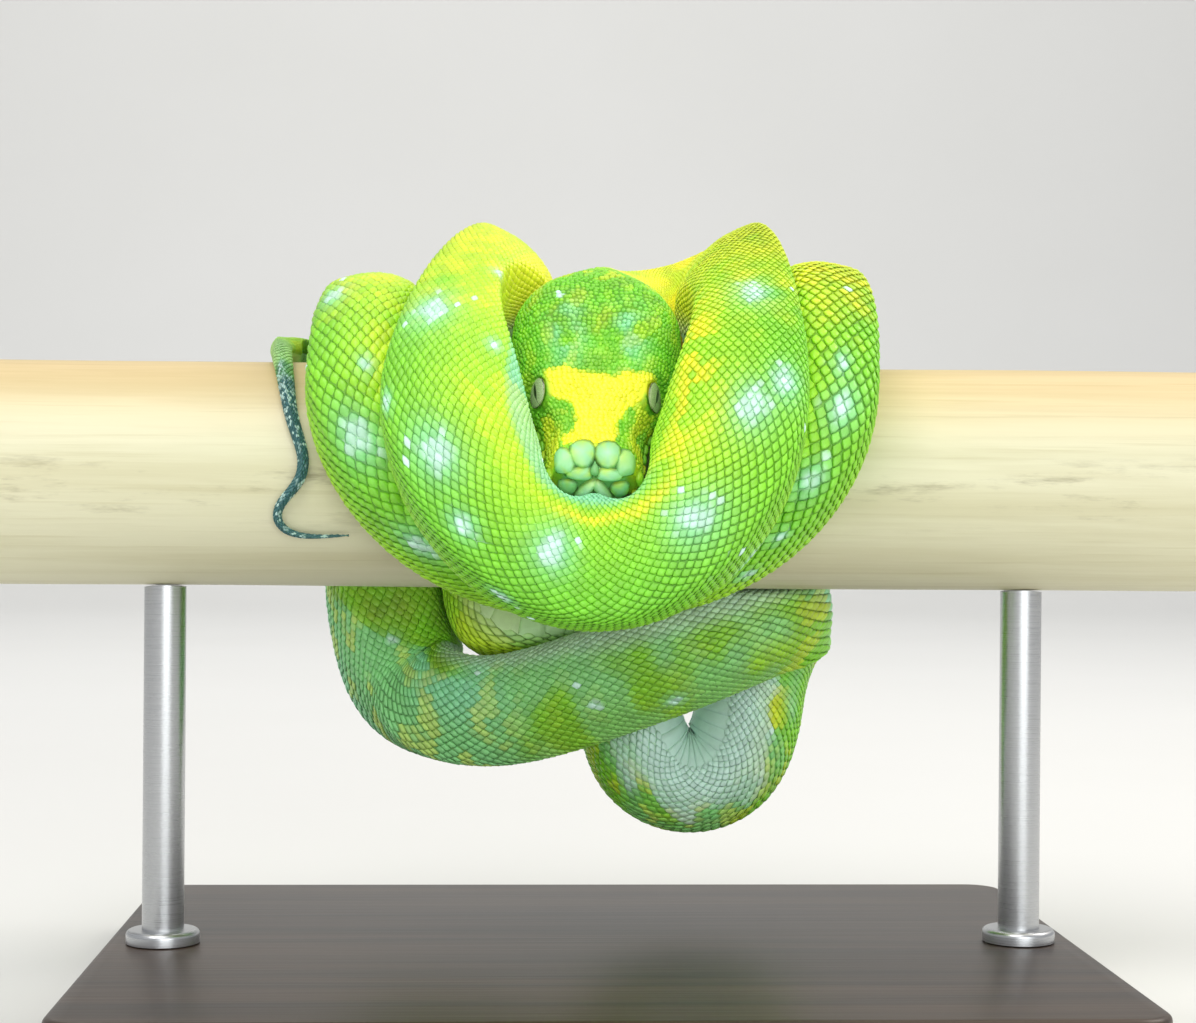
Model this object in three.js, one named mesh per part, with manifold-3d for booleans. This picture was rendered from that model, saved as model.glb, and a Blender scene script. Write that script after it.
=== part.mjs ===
// A green tree python coiled over a round wooden perch, on a plain display stand.
// Millimetres, +Z up. The origin is the middle of the underside of the base, and -Y is the front.
import * as THREE from 'three';
import Module from 'manifold-3d';

// ---- Driving dimensions ----
const PERCH = { radius: 27, length: 300, height: 125, sides: 56 };
const BASE = { length: 236, depth: 176, thickness: 12, corner: 9 };
const ROD = { radius: 5, reach: 104 };
const GAP = 0.3; // between pieces that touch
const CLEAR = { perch: 0.5, coils: 0.75 }; // skin to perch, and one coil to the next
const RING = { step: 5.7, points: 14, headStep: 2.8, headPoints: 22 };
const FINE = 1.2; // spacing of the points along the backbone
const HEAD = { length: 57, eye: 22.5, eyeSide: 10.7, eyeUp: 4.2, eyeRadius: 4.2, jaw: 35 };
const TAIL = 215; // vent to tip
const PERCH_AXIS = PERCH.height;

// ---- The backbone, from the snout to the tip of the tail ----
// A way over the perch is given by the place along it, the angle round it from its crest
// (the front is negative) and the height of the backbone over the wood.
function overPerch(x, degrees, height) {
  const a = THREE.MathUtils.degToRad(degrees);
  const r = PERCH.radius + height;
  return new THREE.Vector3(x, r * Math.sin(a), PERCH_AXIS + r * Math.cos(a));
}

const mix = (list, t) => {
  const u = Math.min(Math.max(t, 0), 1) * (list.length - 1);
  const i = Math.min(Math.floor(u), list.length - 2);
  return list[i].clone().lerp(list[i + 1], u - i);
};

// A smooth way through a few places, each with the direction of the spine there.
function way(rows, count) {
  const curve = new THREE.CatmullRomCurve3(rows.map((row) => row[0]), false, 'centripetal');
  const spines = rows.map((row) => row[1]);
  return Array.from({ length: count + 1 }, (_, i) => ({
    at: curve.getPoint(i / count),
    spine: mix(spines, i / count),
  }));
}
const point = (x, y, z) => new THREE.Vector3(x, y, z);
const free = (x, y, z, ...spine) => [point(x, y, PERCH_AXIS + z), point(...spine)];
const held = (x, degrees, height, ...spine) => [overPerch(x, degrees, height), point(...spine)];

// A loop that hangs over one side of the perch: from a crossing down an arm, round a quarter
// ellipse to the low point, and up the other arm to the next crossing.
function loop({ side, crossings, arms, low, turn, round, heights, spines }, count = 240) {
  const quarter = Math.PI / 2;
  return Array.from({ length: count + 1 }, (_, i) => {
    const t = i / count;
    const half = t < 0.5 ? 0 : 1;
    const u = half ? 2 - 2 * t : 2 * t; // 0 at the crossing, 1 at the low point
    const e = Math.max(u * 2 - 1, 0) * quarter;
    const down = Math.min(u * 2, 1);
    const x = u < 0.5
      ? THREE.MathUtils.lerp(crossings[half], arms[half], down)
      : low + (arms[half] - low) * Math.cos(e);
    const angle = u < 0.5 ? turn * down : turn + (round - turn) * Math.sin(e);
    const out = Math.sin(Math.min(angle / round, 1) * quarter) ** 4;
    const height = THREE.MathUtils.lerp(heights[half * 2], heights[1], out);
    return { at: overPerch(x, side * angle, height), spine: mix(spines, t) };
  });
}

const NECK = way([
  free(-4.1, -58.9, -4.2, 0, -0.84, 0.545),
  free(-3.3, -47, 14, 0, -0.84, 0.545),
  free(-2.4, -34.8, 32.6, 0, -0.84, 0.545),
  free(-1.3, -23.5, 38.4, 0, -0.25, 1),
  free(1, -9, 39.5, 0, 0, 1),
  free(5, 5, 39.5, 0, 0, 1),
  free(12, 13.5, 39.5, 0, 0, 1),
  free(22, 15, 40.5, 0, 0, 1),
  free(30.5, 9, 43, 0.1, 0, 1),
  free(34, 0, 45, 0.2, 0, 1),
], 270);
const INNER_LOOP = loop({
  side: -1, crossings: [34, -24], arms: [26, -34], low: -3.7, turn: 77, round: 107.4,
  heights: [18, 36.5, 16.5],
  spines: [point(0.2, 0, 1), point(0.8, -0.7, 0.2), point(0, -1, -0.9),
    point(-0.85, -0.55, 0.2), point(-0.12, 0, 1)],
});
const BACK_LOOP = loop({
  side: 1, crossings: [-24, 53], arms: [-33, 44], low: -17, turn: 55, round: 144,
  heights: [16.5, 19.2, 13],
  spines: [point(-0.12, 0, 1), point(-0.8, 0.8, 0.2), point(0, 1, -0.6),
    point(0.8, 0.8, 0.5), point(0.85, 0, 1)],
});
const OUTER_LOOP = loop({
  side: -1, crossings: [53, -55], arms: [49.8, -56.5], low: -3, turn: 56, round: 121,
  heights: [13, 13, 9.5],
  spines: [point(0.85, 0, 1), point(0.8, -0.7, 0.1), point(0, -1, -0.6),
    point(-0.8, -0.7, 0.1), point(-0.85, 0, 1)],
});
const LOW_LOOP = way([
  held(-55, 0, 9.5, -0.85, 0, 1),
  held(-57, 40, 11, -0.9, 0.5, 0.4),
  held(-56.5, 80, 14.5, -1, -0.1, 0),
  held(-53, 108, 18, -0.8, -0.7, 0),
  held(-51.5, 131, 26.5, -0.5, -1, -0.1),
  held(-45, 146.5, 38, -0.1, -1, -0.25),
  held(-25, 160.5, 34.5, 0.1, -0.6, -0.9),
  held(11, 169.5, 19.5, 0, -0.05, -1),
  held(34, 164.5, 11.5, 0.2, 0, -1),
  held(48, 147, 12, 0.5, 0.2, -1),
  held(46.5, 140, 21.5, 0.9, 0.3, -0.5),
  held(42.4, 144.2, 34, 1, 0.4, -0.2),
  held(40.6, 149.9, 46.5, 1, 0.5, -0.2),
  held(36.4, 153.1, 56, 0.8, 0.5, -0.7),
  held(26.2, 154.1, 60, 0, 0.6, -1),
  held(16, 153.1, 56, -0.8, 0.5, -0.7),
  held(11.4, 149.7, 46, -1, 0.5, -0.2),
  held(5.5, 140.5, 39.5, -0.7, 0.8, -0.2),
  held(-8, 127, 40, -0.4, 1, -0.1),
  held(-26, 108, 40, -0.3, 1, 0.2),
  held(-49.5, 84, 40, -0.2, 0.9, 0.5),
  held(-70, 55, 24.5, -0.3, 0.6, 0.9),
  held(-76.5, 25, 7, -0.4, 0.3, 1),
  held(-77, 0, 3.4, -0.4, 0, 1),
], 720);
const TAIL_CURL = way([
  held(-77, 0, 3.4, -0.4, 0, 1),
  held(-75.5, -25, 3.2, -0.3, -0.5, 1),
  held(-74, -43, 3, -0.2, -0.8, 0.8),
  held(-71.7, -68, 2.7, 0, -1, 0.4),
  held(-68.5, -84, 2.3, 0, -1, 0.1),
  held(-69.5, -95, 2, 0, -1, 0),
  held(-75, -104, 1.8, 0, -1, -0.2),
  held(-76.5, -112, 1.7, 0, -1, -0.3),
  held(-73.5, -120, 1.6, 0, -1, -0.5),
  held(-67, -121.5, 1.5, 0, -1, -0.5),
  held(-58.5, -120.5, 1.3, 0, -1, -0.5),
], 240);

// Points at even spacing, with the bends and the lean of the spine eased.
function backbone() {
  const joined = [NECK, INNER_LOOP, BACK_LOOP, OUTER_LOOP, LOW_LOOP, TAIL_CURL]
    .flatMap((part, i) => part.slice(i ? 1 : 0));
  let line = spaced(joined);
  line = eased(line, 'at', 20);
  line = eased(line, 'spine', 60);
  line = spaced(line);
  line.forEach((p, i) => {
    const before = line[Math.max(i - 1, 0)].at;
    const after = line[Math.min(i + 1, line.length - 1)].at;
    p.along = after.clone().sub(before).normalize();
  });
  line.forEach((p, i) => {
    const before = line[Math.max(i - 1, 0)];
    const after = line[Math.min(i + 1, line.length - 1)];
    p.bend = after.along.clone().sub(before.along).divideScalar(2 * FINE);
    p.up = p.spine.clone().addScaledVector(p.along, -p.spine.dot(p.along)).normalize();
    p.right = new THREE.Vector3().crossVectors(p.up, p.along);
  });
  return line;
}

function spaced(points) {
  const far = [0];
  for (let i = 1; i < points.length; i++) {
    far.push(far[i - 1] + points[i].at.distanceTo(points[i - 1].at));
  }
  const total = far[far.length - 1];
  const count = Math.round(total / FINE);
  let j = 0;
  return Array.from({ length: count + 1 }, (_, i) => {
    const s = (total * i) / count;
    while (j < points.length - 2 && far[j + 1] < s) j++;
    const t = (s - far[j]) / Math.max(far[j + 1] - far[j], 1e-9);
    return {
      s,
      at: points[j].at.clone().lerp(points[j + 1].at, t),
      spine: points[j].spine.clone().lerp(points[j + 1].spine, t),
    };
  });
}

function eased(points, key, rounds) {
  let list = points.map((p) => p[key]);
  for (let r = 0; r < rounds; r++) {
    list = list.map((v, i) => (i === 0 || i === list.length - 1
      ? v
      : v.clone().multiplyScalar(2).add(list[i - 1]).add(list[i + 1]).divideScalar(4)));
  }
  return points.map((p, i) => ({ ...p, [key]: list[i] }));
}

const LINE = backbone();
const LENGTH = LINE[LINE.length - 1].s;

// ---- Cross-sections ----
// Rows of distance from the snout, half width, height over and depth under the backbone.
const HEAD_ROWS = [
  [0, 9.6, 5.8, 4.8], [3, 10.2, 6.4, 5.2], [7.5, 10.5, 6.9, 5.8], [12.5, 11.2, 7.1, 6.6],
  [17.5, 13.2, 7.9, 7.6], [22.5, 15.6, 9.0, 8.6], [27.5, 17.3, 9.9, 9.6],
  [32.5, 18.3, 10.8, 10.2], [38.5, 18.8, 11.3, 10.5], [45.5, 18.8, 11.1, 10.4],
  [50.5, 17.4, 10.6, 10.2], [54.5, 15, 10.2, 9.8], [59.5, 12, 9.8, 9.2], [66, 10.6, 9.6, 8.8],
  [76, 10.2, 10, 8.8]];
// Rows of distance from the snout, half width and half height, as far as the vent.
const BODY_ROWS = [
  [57, 10.6, 9.8], [80, 10.2, 10.2], [105, 11.6, 12.2], [135, 13.4, 16.3], [165, 14.4, 17],
  [195, 16, 18.4], [240, 15.8, 18], [285, 15.8, 18], [320, 14.4, 16.8], [370, 14.2, 16.4],
  [450, 14.3, 14.5], [560, 14.3, 13.8], [720, 14.3, 12.6], [835, 14.3, 12.4], [880, 17.6, 17.4],
  [930, 17.6, 17], [985, 15.2, 14.4], [1060, 14.4, 14.4], [1110, 15, 14.8], [1150, 14.6, 14.4],
  [LENGTH - TAIL, 10.8, 10.6]];
// Rows of the share of the tail behind it and the thickness left there.
const TAIL_ROWS = [[0, 1], [0.2, 0.76], [0.4, 0.48], [0.58, 0.32], [0.7, 0.24], [0.8, 0.17], [0.92, 0.12], [1, 0.06]];

// A smooth rise and fall through rows, that never overshoots them.
function through(rows, column, x) {
  if (x <= rows[0][0]) return rows[0][column];
  if (x >= rows[rows.length - 1][0]) return rows[rows.length - 1][column];
  const slope = (k) => (rows[k + 1][column] - rows[k][column]) / (rows[k + 1][0] - rows[k][0]);
  const tangent = (k) => {
    if (k === 0 || k === rows.length - 1) return 0;
    const [a, b] = [slope(k - 1), slope(k)];
    return a * b <= 0 ? 0 : (2 * a * b) / (a + b);
  };
  const i = rows.findIndex((row) => row[0] > x) - 1;
  const h = rows[i + 1][0] - rows[i][0];
  const t = (x - rows[i][0]) / h;
  const [m0, m1] = [tangent(i) * h, tangent(i + 1) * h];
  return (2 * t ** 3 - 3 * t ** 2 + 1) * rows[i][column] + (t ** 3 - 2 * t ** 2 + t) * m0
    + (3 * t ** 2 - 2 * t ** 3) * rows[i + 1][column] + (t ** 3 - t ** 2) * m1;
}

function bodySize(s) {
  const share = (s - (LENGTH - TAIL)) / TAIL;
  const thin = through(TAIL_ROWS, 1, share);
  const tip = Math.sqrt(Math.min(Math.max((LENGTH - s) / 3, 0), 1));
  return [through(BODY_ROWS, 1, s) * thin * tip, through(BODY_ROWS, 2, s) * thin * tip];
}

const wrapped = (a) => Math.atan2(Math.sin(a), Math.cos(a));
const swell = (x, middle, spread) => Math.exp(-(((x - middle) / spread) ** 2));
const ramp = (a, b, x) => {
  const t = Math.min(Math.max((x - a) / (b - a), 0), 1);
  return t * t * (3 - 2 * t);
};

// A body ring: keeled over the spine, fuller toward the belly.
function bodySection(s, angle) {
  const [w, h] = bodySize(s);
  const c = Math.cos(angle);
  const keel = 0.1 * swell(wrapped(angle), 0, 0.33);
  return [Math.sin(angle) * (1 - 0.16 * c) * w, c * (1 + keel) * (c < 0 ? 0.86 : 1) * h];
}

// A head ring: a rounded box with the temples, brows, cheeks and nose swelling from it.
const BUMPS = [
  // distance from the snout, angle from the crown, their spreads, and how far it stands out
  { s: 41.5, angle: 0.62, length: 9, turn: 0.4, out: 1.5 }, // temples
  { s: 40.5, angle: 0, length: 11, turn: 0.22, out: -1.2 }, // furrow of the crown
  { s: 23.5, angle: 0.82, length: 6, turn: 0.24, out: 1.0 }, // brows
  { s: 13.5, angle: 1.3, length: 5, turn: 0.34, out: -1.2 }, // hollow before the eye
  { s: 12.5, angle: 0.82, length: 6, turn: 0.2, out: 0.5 }, // ridge of the snout
  { s: 5, angle: 0.5, length: 3.2, turn: 0.36, out: 1.1 }, // nose
  { s: 5, angle: 0, length: 4, turn: 0.14, out: -0.6 }, // furrow of the nose
  { s: 6, angle: 1.72, length: 7, turn: 0.34, out: 0.7 }, // lip pads
  { s: 37.5, angle: 1.75, length: 9, turn: 0.45, out: 0.7 }, // cheeks
];

const blunt = (s) => Math.cbrt(1 - (1 - Math.min(s / 3.2, 1)) ** 3); // the round of the snout

function headSection(s, angle) {
  const [w, over, under] = [1, 2, 3].map((k) => through(HEAD_ROWS, k, s) * blunt(s));
  const power = 2 / (2.7 - 0.5 * ramp(10, 45, s));
  const lean = 0.2 * ramp(4, 14, s) - 0.14 * ramp(26, 40, s); // the sides lean in toward the top
  const box = (v) => Math.sign(v) * Math.abs(v) ** power;
  const c = Math.cos(angle);
  const [x, y] = [box(Math.sin(angle)) * w * (1 - lean * c), box(c) * (c > 0 ? over : under)];
  const r = Math.hypot(x, y);
  const out = BUMPS.reduce((sum, b) => sum
    + b.out * swell(s, b.s, b.length) * swell(Math.abs(wrapped(angle)), b.angle, b.turn), 0);
  const grow = r > 0 ? 1 + (out * blunt(s)) / r : 1;
  return [x * grow, y * grow];
}

function section(s, angle) {
  if (s > 80) return bodySection(s, angle);
  const t = ramp(50, 78, s);
  const [head, body] = [headSection(s, angle), bodySection(s, angle)];
  return [0, 1].map((k) => head[k] * (1 - t) + body[k] * t);
}

// ---- Contact: coils flatten against each other and against the perch ----
const SIZES = LINE.map((p) => {
  const t = ramp(50, 78, p.s);
  const [w, h] = bodySize(Math.max(p.s, 57));
  const head = [1, 2].map((k) => through(HEAD_ROWS, k, p.s) * (p.s ? blunt(p.s) : 0.05));
  return p.s > 80 ? [w, h] : [head[0] * (1 - t) + w * t, head[1] * (1 - t) + h * t];
});

function radiusToward(i, direction) {
  const a = direction.dot(LINE[i].right);
  const b = direction.dot(LINE[i].up);
  const flat = Math.hypot(a, b);
  return 1 / Math.hypot(a / flat / SIZES[i][0], b / flat / SIZES[i][1]);
}

const SELF = 46; // coils nearer than this along the backbone don't press on each other
const SOFT = 20; // sharpness of a flat's edge

// The flats of one ring: planes midway to every other coil that presses on it.
function flatsOf(i) {
  const flats = [];
  for (let j = 0; j < LINE.length; j += 2) {
    if (Math.abs(LINE[j].s - LINE[i].s) < SELF) continue;
    const to = LINE[j].at.clone().sub(LINE[i].at);
    const distance = to.length();
    if (distance > 2.4 * (SIZES[i][1] + SIZES[j][1])) continue;
    to.divideScalar(distance);
    const [own, other] = [radiusToward(i, to), radiusToward(j, to)];
    if (own + other + CLEAR.coils < distance * 0.9) continue;
    const midway = (distance ** 2 + own ** 2 - other ** 2) / (2 * distance) - CLEAR.coils / 2;
    const [across, over] = [to.dot(LINE[j].right) * SIZES[j][0], to.dot(LINE[j].up) * SIZES[j][1]];
    const byHead = distance - 1.1 * Math.hypot(across, over) - CLEAR.coils; // the head doesn't give
    flats.push({ to, reach: Math.max(LINE[j].s < HEAD.length ? byHead : midway, 1) });
  }
  return flats;
}

function reachToPerch(from, off) {
  const r = PERCH.radius + CLEAR.perch;
  const [y, z] = [from.y, from.z - PERCH_AXIS];
  const a = off.y ** 2 + off.z ** 2;
  const b = y * off.y + z * off.z;
  const c = y * y + z * z - r * r;
  const root = b * b - a * c;
  if (c <= 0 || b >= 0 || root <= 0) return Infinity;
  return (-b - Math.sqrt(root)) / a;
}

function ring(i, points, shift = 0) {
  const p = LINE[i];
  const flats = flatsOf(i);
  return Array.from({ length: points }, (_, k) => {
    const angle = (k / points) * 2 * Math.PI;
    const [x, y] = section(p.s, angle);
    const off = p.right.clone().multiplyScalar(x).addScaledVector(p.up, y);
    const limits = [1, reachToPerch(p.at, off)];
    let nearest = Infinity;
    for (const flat of flats) {
      const c = off.dot(flat.to);
      if (c > 0) nearest = Math.min(nearest, flat.reach / c);
    }
    limits.push(nearest);
    const squeeze = off.dot(p.bend);
    if (squeeze > 0) limits.push(0.93 / squeeze);
    const scale = limits.reduce((sum, v) => sum + v ** -SOFT, 0) ** (-1 / SOFT);
    return p.at.clone().addScaledVector(off, scale).addScaledVector(p.along, shift);
  });
}

// ---- Meshes ----
// A closed tube through rings of points, with a fan over each end.
function tube(rings) {
  const n = rings[0].length;
  const points = rings.flat();
  const middles = [rings[0], rings[rings.length - 1]].map((r) => r
    .reduce((sum, p) => sum.add(p), new THREE.Vector3()).divideScalar(n));
  const faces = [];
  for (let i = 0; i < rings.length - 1; i++) {
    for (let k = 0; k < n; k++) {
      const [a, b] = [i * n + k, i * n + ((k + 1) % n)];
      faces.push(a, b, a + n, b, b + n, a + n);
    }
  }
  const last = (rings.length - 1) * n;
  for (let k = 0; k < n; k++) {
    const next = (k + 1) % n;
    faces.push(points.length, next, k);
    faces.push(points.length + 1, last + k, last + next);
  }
  const corners = [...points, ...middles];
  let volume = 0;
  for (let i = 0; i < faces.length; i += 3) {
    const [a, b, c] = [corners[faces[i]], corners[faces[i + 1]], corners[faces[i + 2]]];
    volume += a.dot(b.clone().cross(c));
  }
  if (volume < 0) faces.reverse(); // turned to face outward
  const geometry = new THREE.BufferGeometry().setFromPoints(corners);
  geometry.setIndex(faces);
  return geometry;
}

const SKIN = { roughness: 0.55, metalness: 0 };
const MATERIALS = {
  skin: new THREE.MeshStandardMaterial({ color: 0x86c423, ...SKIN }),
  skinShade: new THREE.MeshStandardMaterial({ color: 0x6fb03a, ...SKIN }),
  skinTail: new THREE.MeshStandardMaterial({ color: 0x27465a, ...SKIN }),
  eye: new THREE.MeshStandardMaterial({ color: 0x8a8a72, roughness: 0.1, metalness: 0 }),
  wood: new THREE.MeshStandardMaterial({ color: 0xd9c396, roughness: 0.6, metalness: 0 }),
  board: new THREE.MeshStandardMaterial({ color: 0x2b2a28, roughness: 0.5, metalness: 0 }),
  steel: new THREE.MeshStandardMaterial({ color: 0xa9abac, roughness: 0.35, metalness: 1 }),
};

const group = new THREE.Group();
function add(name, geometry, material) {
  geometry.computeVertexNormals();
  const mesh = new THREE.Mesh(geometry, material);
  mesh.name = name;
  group.add(mesh);
  return mesh;
}

// The body's lengths: each name with how far from the snout it ends.
const LENGTHS = [
  ['neck', 118, 'skin'], ['inner_loop_right', 244, 'skin'], ['inner_loop_left', 359, 'skin'],
  ['back_loop_left', 500, 'skin'], ['back_loop_right', 609, 'skin'],
  ['outer_loop_right', 725, 'skin'], ['outer_loop_left', 836, 'skin'],
  ['back_drop', 933, 'skinShade'], ['low_loop', 1045, 'skinShade'],
  ['low_bend', 1138, 'skinShade'], ['back_rise', LENGTH - TAIL, 'skinShade'],
  ['tail_base', LENGTH - 80, 'skinTail'], ['tail_tip', LENGTH, 'skinTail']];

const indexAt = (s) => Math.round((s / LENGTH) * (LINE.length - 1));
let start = HEAD.length;
for (const [name, end, material] of LENGTHS) {
  const [first, last] = [indexAt(start), indexAt(end)];
  const count = Math.max(Math.round((end - start) / RING.step), 2);
  const stops = Array.from({ length: count + 1 }, (_, k) => first + Math.round(((last - first) * k) / count));
  const rings = stops.map((i, k) => {
    const shift = k === 0 ? GAP / 2 : (k === count && end < LENGTH ? -GAP / 2 : 0);
    const tip = end === LENGTH && k === count;
    return ring(tip ? i - 1 : i, name === 'tail_tip' ? 10 : RING.points, shift);
  });
  add(name, tube(rings), MATERIALS[material]);
  start = end;
}

// ---- Head: cut for the eyes and along the mouth ----
const wasm = await Module();
wasm.setup();

function solid(geometry) {
  return new wasm.Manifold(new wasm.Mesh({
    numProp: 3,
    vertProperties: new Float32Array(geometry.getAttribute('position').array),
    triVerts: new Uint32Array(geometry.index.array),
  }));
}

function geometryOf(made) {
  const mesh = made.getMesh();
  const geometry = new THREE.BufferGeometry();
  geometry.setAttribute('position', new THREE.BufferAttribute(new Float32Array(mesh.vertProperties), 3));
  geometry.setIndex(new THREE.BufferAttribute(new Uint32Array(mesh.triVerts), 1));
  return geometry;
}

const headLast = indexAt(HEAD.length);
const headStops = [0.25, 0.8, 1.8, 3.2];
for (let s = 5.4; s < HEAD.length - 2; s += RING.headStep) headStops.push(s);

// A ring of the head at any distance from the snout, even between the backbone's points.
function headRing(s) {
  const i = Math.min(Math.floor((s / LENGTH) * (LINE.length - 1)), headLast);
  const shift = s - LINE[i].s;
  const p = LINE[i];
  return Array.from({ length: RING.headPoints }, (_, k) => {
    const [x, y] = section(s, (k / RING.headPoints) * 2 * Math.PI);
    const off = p.right.clone().multiplyScalar(x).addScaledVector(p.up, y);
    const scale = Math.min(1, reachToPerch(p.at, off));
    return p.at.clone().addScaledVector(off, scale).addScaledVector(p.along, shift);
  });
}
const wholeHead = solid(tube([...headStops.map(headRing), ring(headLast, RING.headPoints, -GAP / 2)]));

const face = LINE[indexAt(20)]; // the head is straight here, so this frame serves all of it
const faceOrigin = face.at.clone().addScaledVector(face.along, -face.s);
const inFace = (side, up, s) => faceOrigin.clone().addScaledVector(face.right, side)
  .addScaledVector(face.up, up).addScaledVector(face.along, s);

// The lower jaw is what lies under the line of the mouth, as far back as its hinge.
function jawBlock(lift) {
  const line = [[-6, -3.0], [3, -3.1], [10.5, -3.2], [20.5, -4.2], [HEAD.jaw, -6.5]];
  const outline = [...line.map(([s, up]) => [s, up + lift]), [HEAD.jaw, -30], [-6, -30]];
  outline[4][0] = outline[5][0] = HEAD.jaw + (lift > 0 ? GAP / 2 : -GAP / 2);
  const sides = [-40, 40].map((side) => outline.map(([s, up]) => inFace(side, up, s)));
  return solid(tube(sides));
}
const eyes = [['eye_left', 1], ['eye_right', -1]].map(([name, side]) => ({
  name,
  at: inFace(side * HEAD.eyeSide, HEAD.eyeUp, HEAD.eye),
}));
let skull = wholeHead.subtract(jawBlock(GAP / 2));
for (const eye of eyes) {
  const ball = wasm.Manifold.sphere(HEAD.eyeRadius + GAP, 24)
    .translate([eye.at.x, eye.at.y, eye.at.z]);
  skull = skull.subtract(ball);
  const sphere = wasm.Manifold.sphere(HEAD.eyeRadius, 20).translate([eye.at.x, eye.at.y, eye.at.z]);
  add(eye.name, geometryOf(sphere), MATERIALS.eye);
}
add('head', geometryOf(skull), MATERIALS.skin);
add('lower_jaw', geometryOf(wholeHead.intersect(jawBlock(-GAP / 2))), MATERIALS.skin);

// ---- Perch and stand ----
const log = new THREE.CylinderGeometry(PERCH.radius, PERCH.radius, PERCH.length, PERCH.sides);
const perch = add('perch', log, MATERIALS.wood);
perch.rotation.z = Math.PI / 2;
perch.position.z = PERCH_AXIS;

function boardShape() {
  const [x, y, r] = [BASE.length / 2, BASE.depth / 2, BASE.corner];
  const shape = new THREE.Shape();
  shape.moveTo(x, y - r);
  shape.absarc(x - r, y - r, r, 0, Math.PI / 2);
  shape.absarc(-x + r, y - r, r, Math.PI / 2, Math.PI);
  shape.absarc(-x + r, -y + r, r, Math.PI, 1.5 * Math.PI);
  shape.absarc(x - r, -y + r, r, 1.5 * Math.PI, 2 * Math.PI);
  return shape;
}
add('stand_base', new THREE.ExtrudeGeometry(boardShape(), {
  depth: BASE.thickness, bevelEnabled: false, curveSegments: 6,
}), MATERIALS.board);

// A rod's top is hollowed to the perch's round, and its foot stands just over the base.
for (const [name, x] of [['stand_rod_left', -ROD.reach], ['stand_rod_right', ROD.reach]]) {
  const foot = BASE.thickness + GAP;
  const rings = [foot, PERCH_AXIS].map((z) => Array.from({ length: 20 }, (_, k) => {
    const a = (k / 20) * 2 * Math.PI;
    const y = ROD.radius * Math.sin(a);
    const top = PERCH_AXIS - Math.sqrt((PERCH.radius + GAP) ** 2 - y * y);
    return new THREE.Vector3(x + ROD.radius * Math.cos(a), y, z === foot ? foot : top);
  }));
  add(name, tube(rings), MATERIALS.steel);
}

export default group;
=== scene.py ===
import math
import bpy
import numpy as np
from mathutils import Matrix, Vector
from mathutils.bvhtree import BVHTree


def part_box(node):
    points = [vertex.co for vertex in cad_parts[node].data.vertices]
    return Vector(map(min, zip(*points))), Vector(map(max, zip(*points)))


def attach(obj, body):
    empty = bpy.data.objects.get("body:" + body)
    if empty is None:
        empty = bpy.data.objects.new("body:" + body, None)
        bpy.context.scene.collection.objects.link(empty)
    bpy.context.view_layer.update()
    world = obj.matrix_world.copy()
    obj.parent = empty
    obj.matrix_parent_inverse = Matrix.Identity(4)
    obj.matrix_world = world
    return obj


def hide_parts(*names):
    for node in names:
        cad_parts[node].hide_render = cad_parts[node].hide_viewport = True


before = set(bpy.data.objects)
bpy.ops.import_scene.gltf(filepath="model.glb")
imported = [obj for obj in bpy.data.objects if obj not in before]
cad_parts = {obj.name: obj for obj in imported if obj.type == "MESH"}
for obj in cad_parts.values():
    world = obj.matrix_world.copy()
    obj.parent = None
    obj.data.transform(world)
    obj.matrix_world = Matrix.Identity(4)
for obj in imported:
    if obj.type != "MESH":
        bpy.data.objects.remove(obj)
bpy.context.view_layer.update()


# ---- Camera ----
# It stands level in front of the perch, a little over half a metre away and a little to the
# left, with the perch's axis just above the middle of the view.
CAMERA_DISTANCE = 0.560
CAMERA_TURN = math.radians(-3.0)
CAMERA_ROLL = math.radians(0.45)
CAMERA_DROP = 0.0084
CAMERA_LENS = 69.4
perch_low, perch_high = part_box("perch")
PERCH_HEIGHT = (perch_low.z + perch_high.z) / 2

bpy.ops.object.select_all(action="DESELECT")
back = Vector((math.sin(CAMERA_TURN), -math.cos(CAMERA_TURN), 0))
level_right = Vector((math.cos(CAMERA_TURN), math.sin(CAMERA_TURN), 0))
camera_right = level_right * math.cos(CAMERA_ROLL) + Vector((0, 0, 1)) * math.sin(CAMERA_ROLL)
camera_up = back.cross(camera_right)
bpy.ops.object.camera_add(location=Vector((0, 0, PERCH_HEIGHT - CAMERA_DROP)) + back * CAMERA_DISTANCE)
camera = bpy.context.object
camera.name = "camera"
camera.rotation_euler = Matrix((camera_right, camera_up, back)).transposed().to_euler()
camera.data.sensor_width = 36.0
camera.data.lens = CAMERA_LENS
camera.data.clip_start = 0.02
camera.data.clip_end = 30.0
bpy.context.scene.camera = camera
bpy.context.scene.view_settings.view_transform = "Standard"


# ---- Floor and light ----
# A plain pale floor of paper that sweeps up behind the stand, a large soft lamp over the
# front, others from the right, from low in front and on the wall, and a fill from the room.
FLOOR_WIDTH = 7.0
FLOOR_DEPTH = 4.0
SWEEP_STEPS = 8
SWEEP_STEP = 0.157
SWEEP_TILT = 5.6
WALL_RISE = 3.2


def paint(red, green, blue):
    """A colour as it looks, from 0 to 255, made linear for a shader."""
    parts = [value / 255 for value in (red, green, blue)]
    return tuple(v / 12.92 if v < 0.04045 else ((v + 0.055) / 1.055) ** 2.4 for v in parts) + (1.0,)


def new_material(name, roughness, **values):
    """A material with its own node tree and its shader, whose plain inputs are set."""
    made = bpy.data.materials.new(name)
    made.use_nodes = True
    shader = made.node_tree.nodes["Principled BSDF"]
    shader.inputs["Roughness"].default_value = roughness
    for key, value in values.items():
        shader.inputs[key.replace("_", " ")].default_value = value
    return made, made.node_tree, shader


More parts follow.
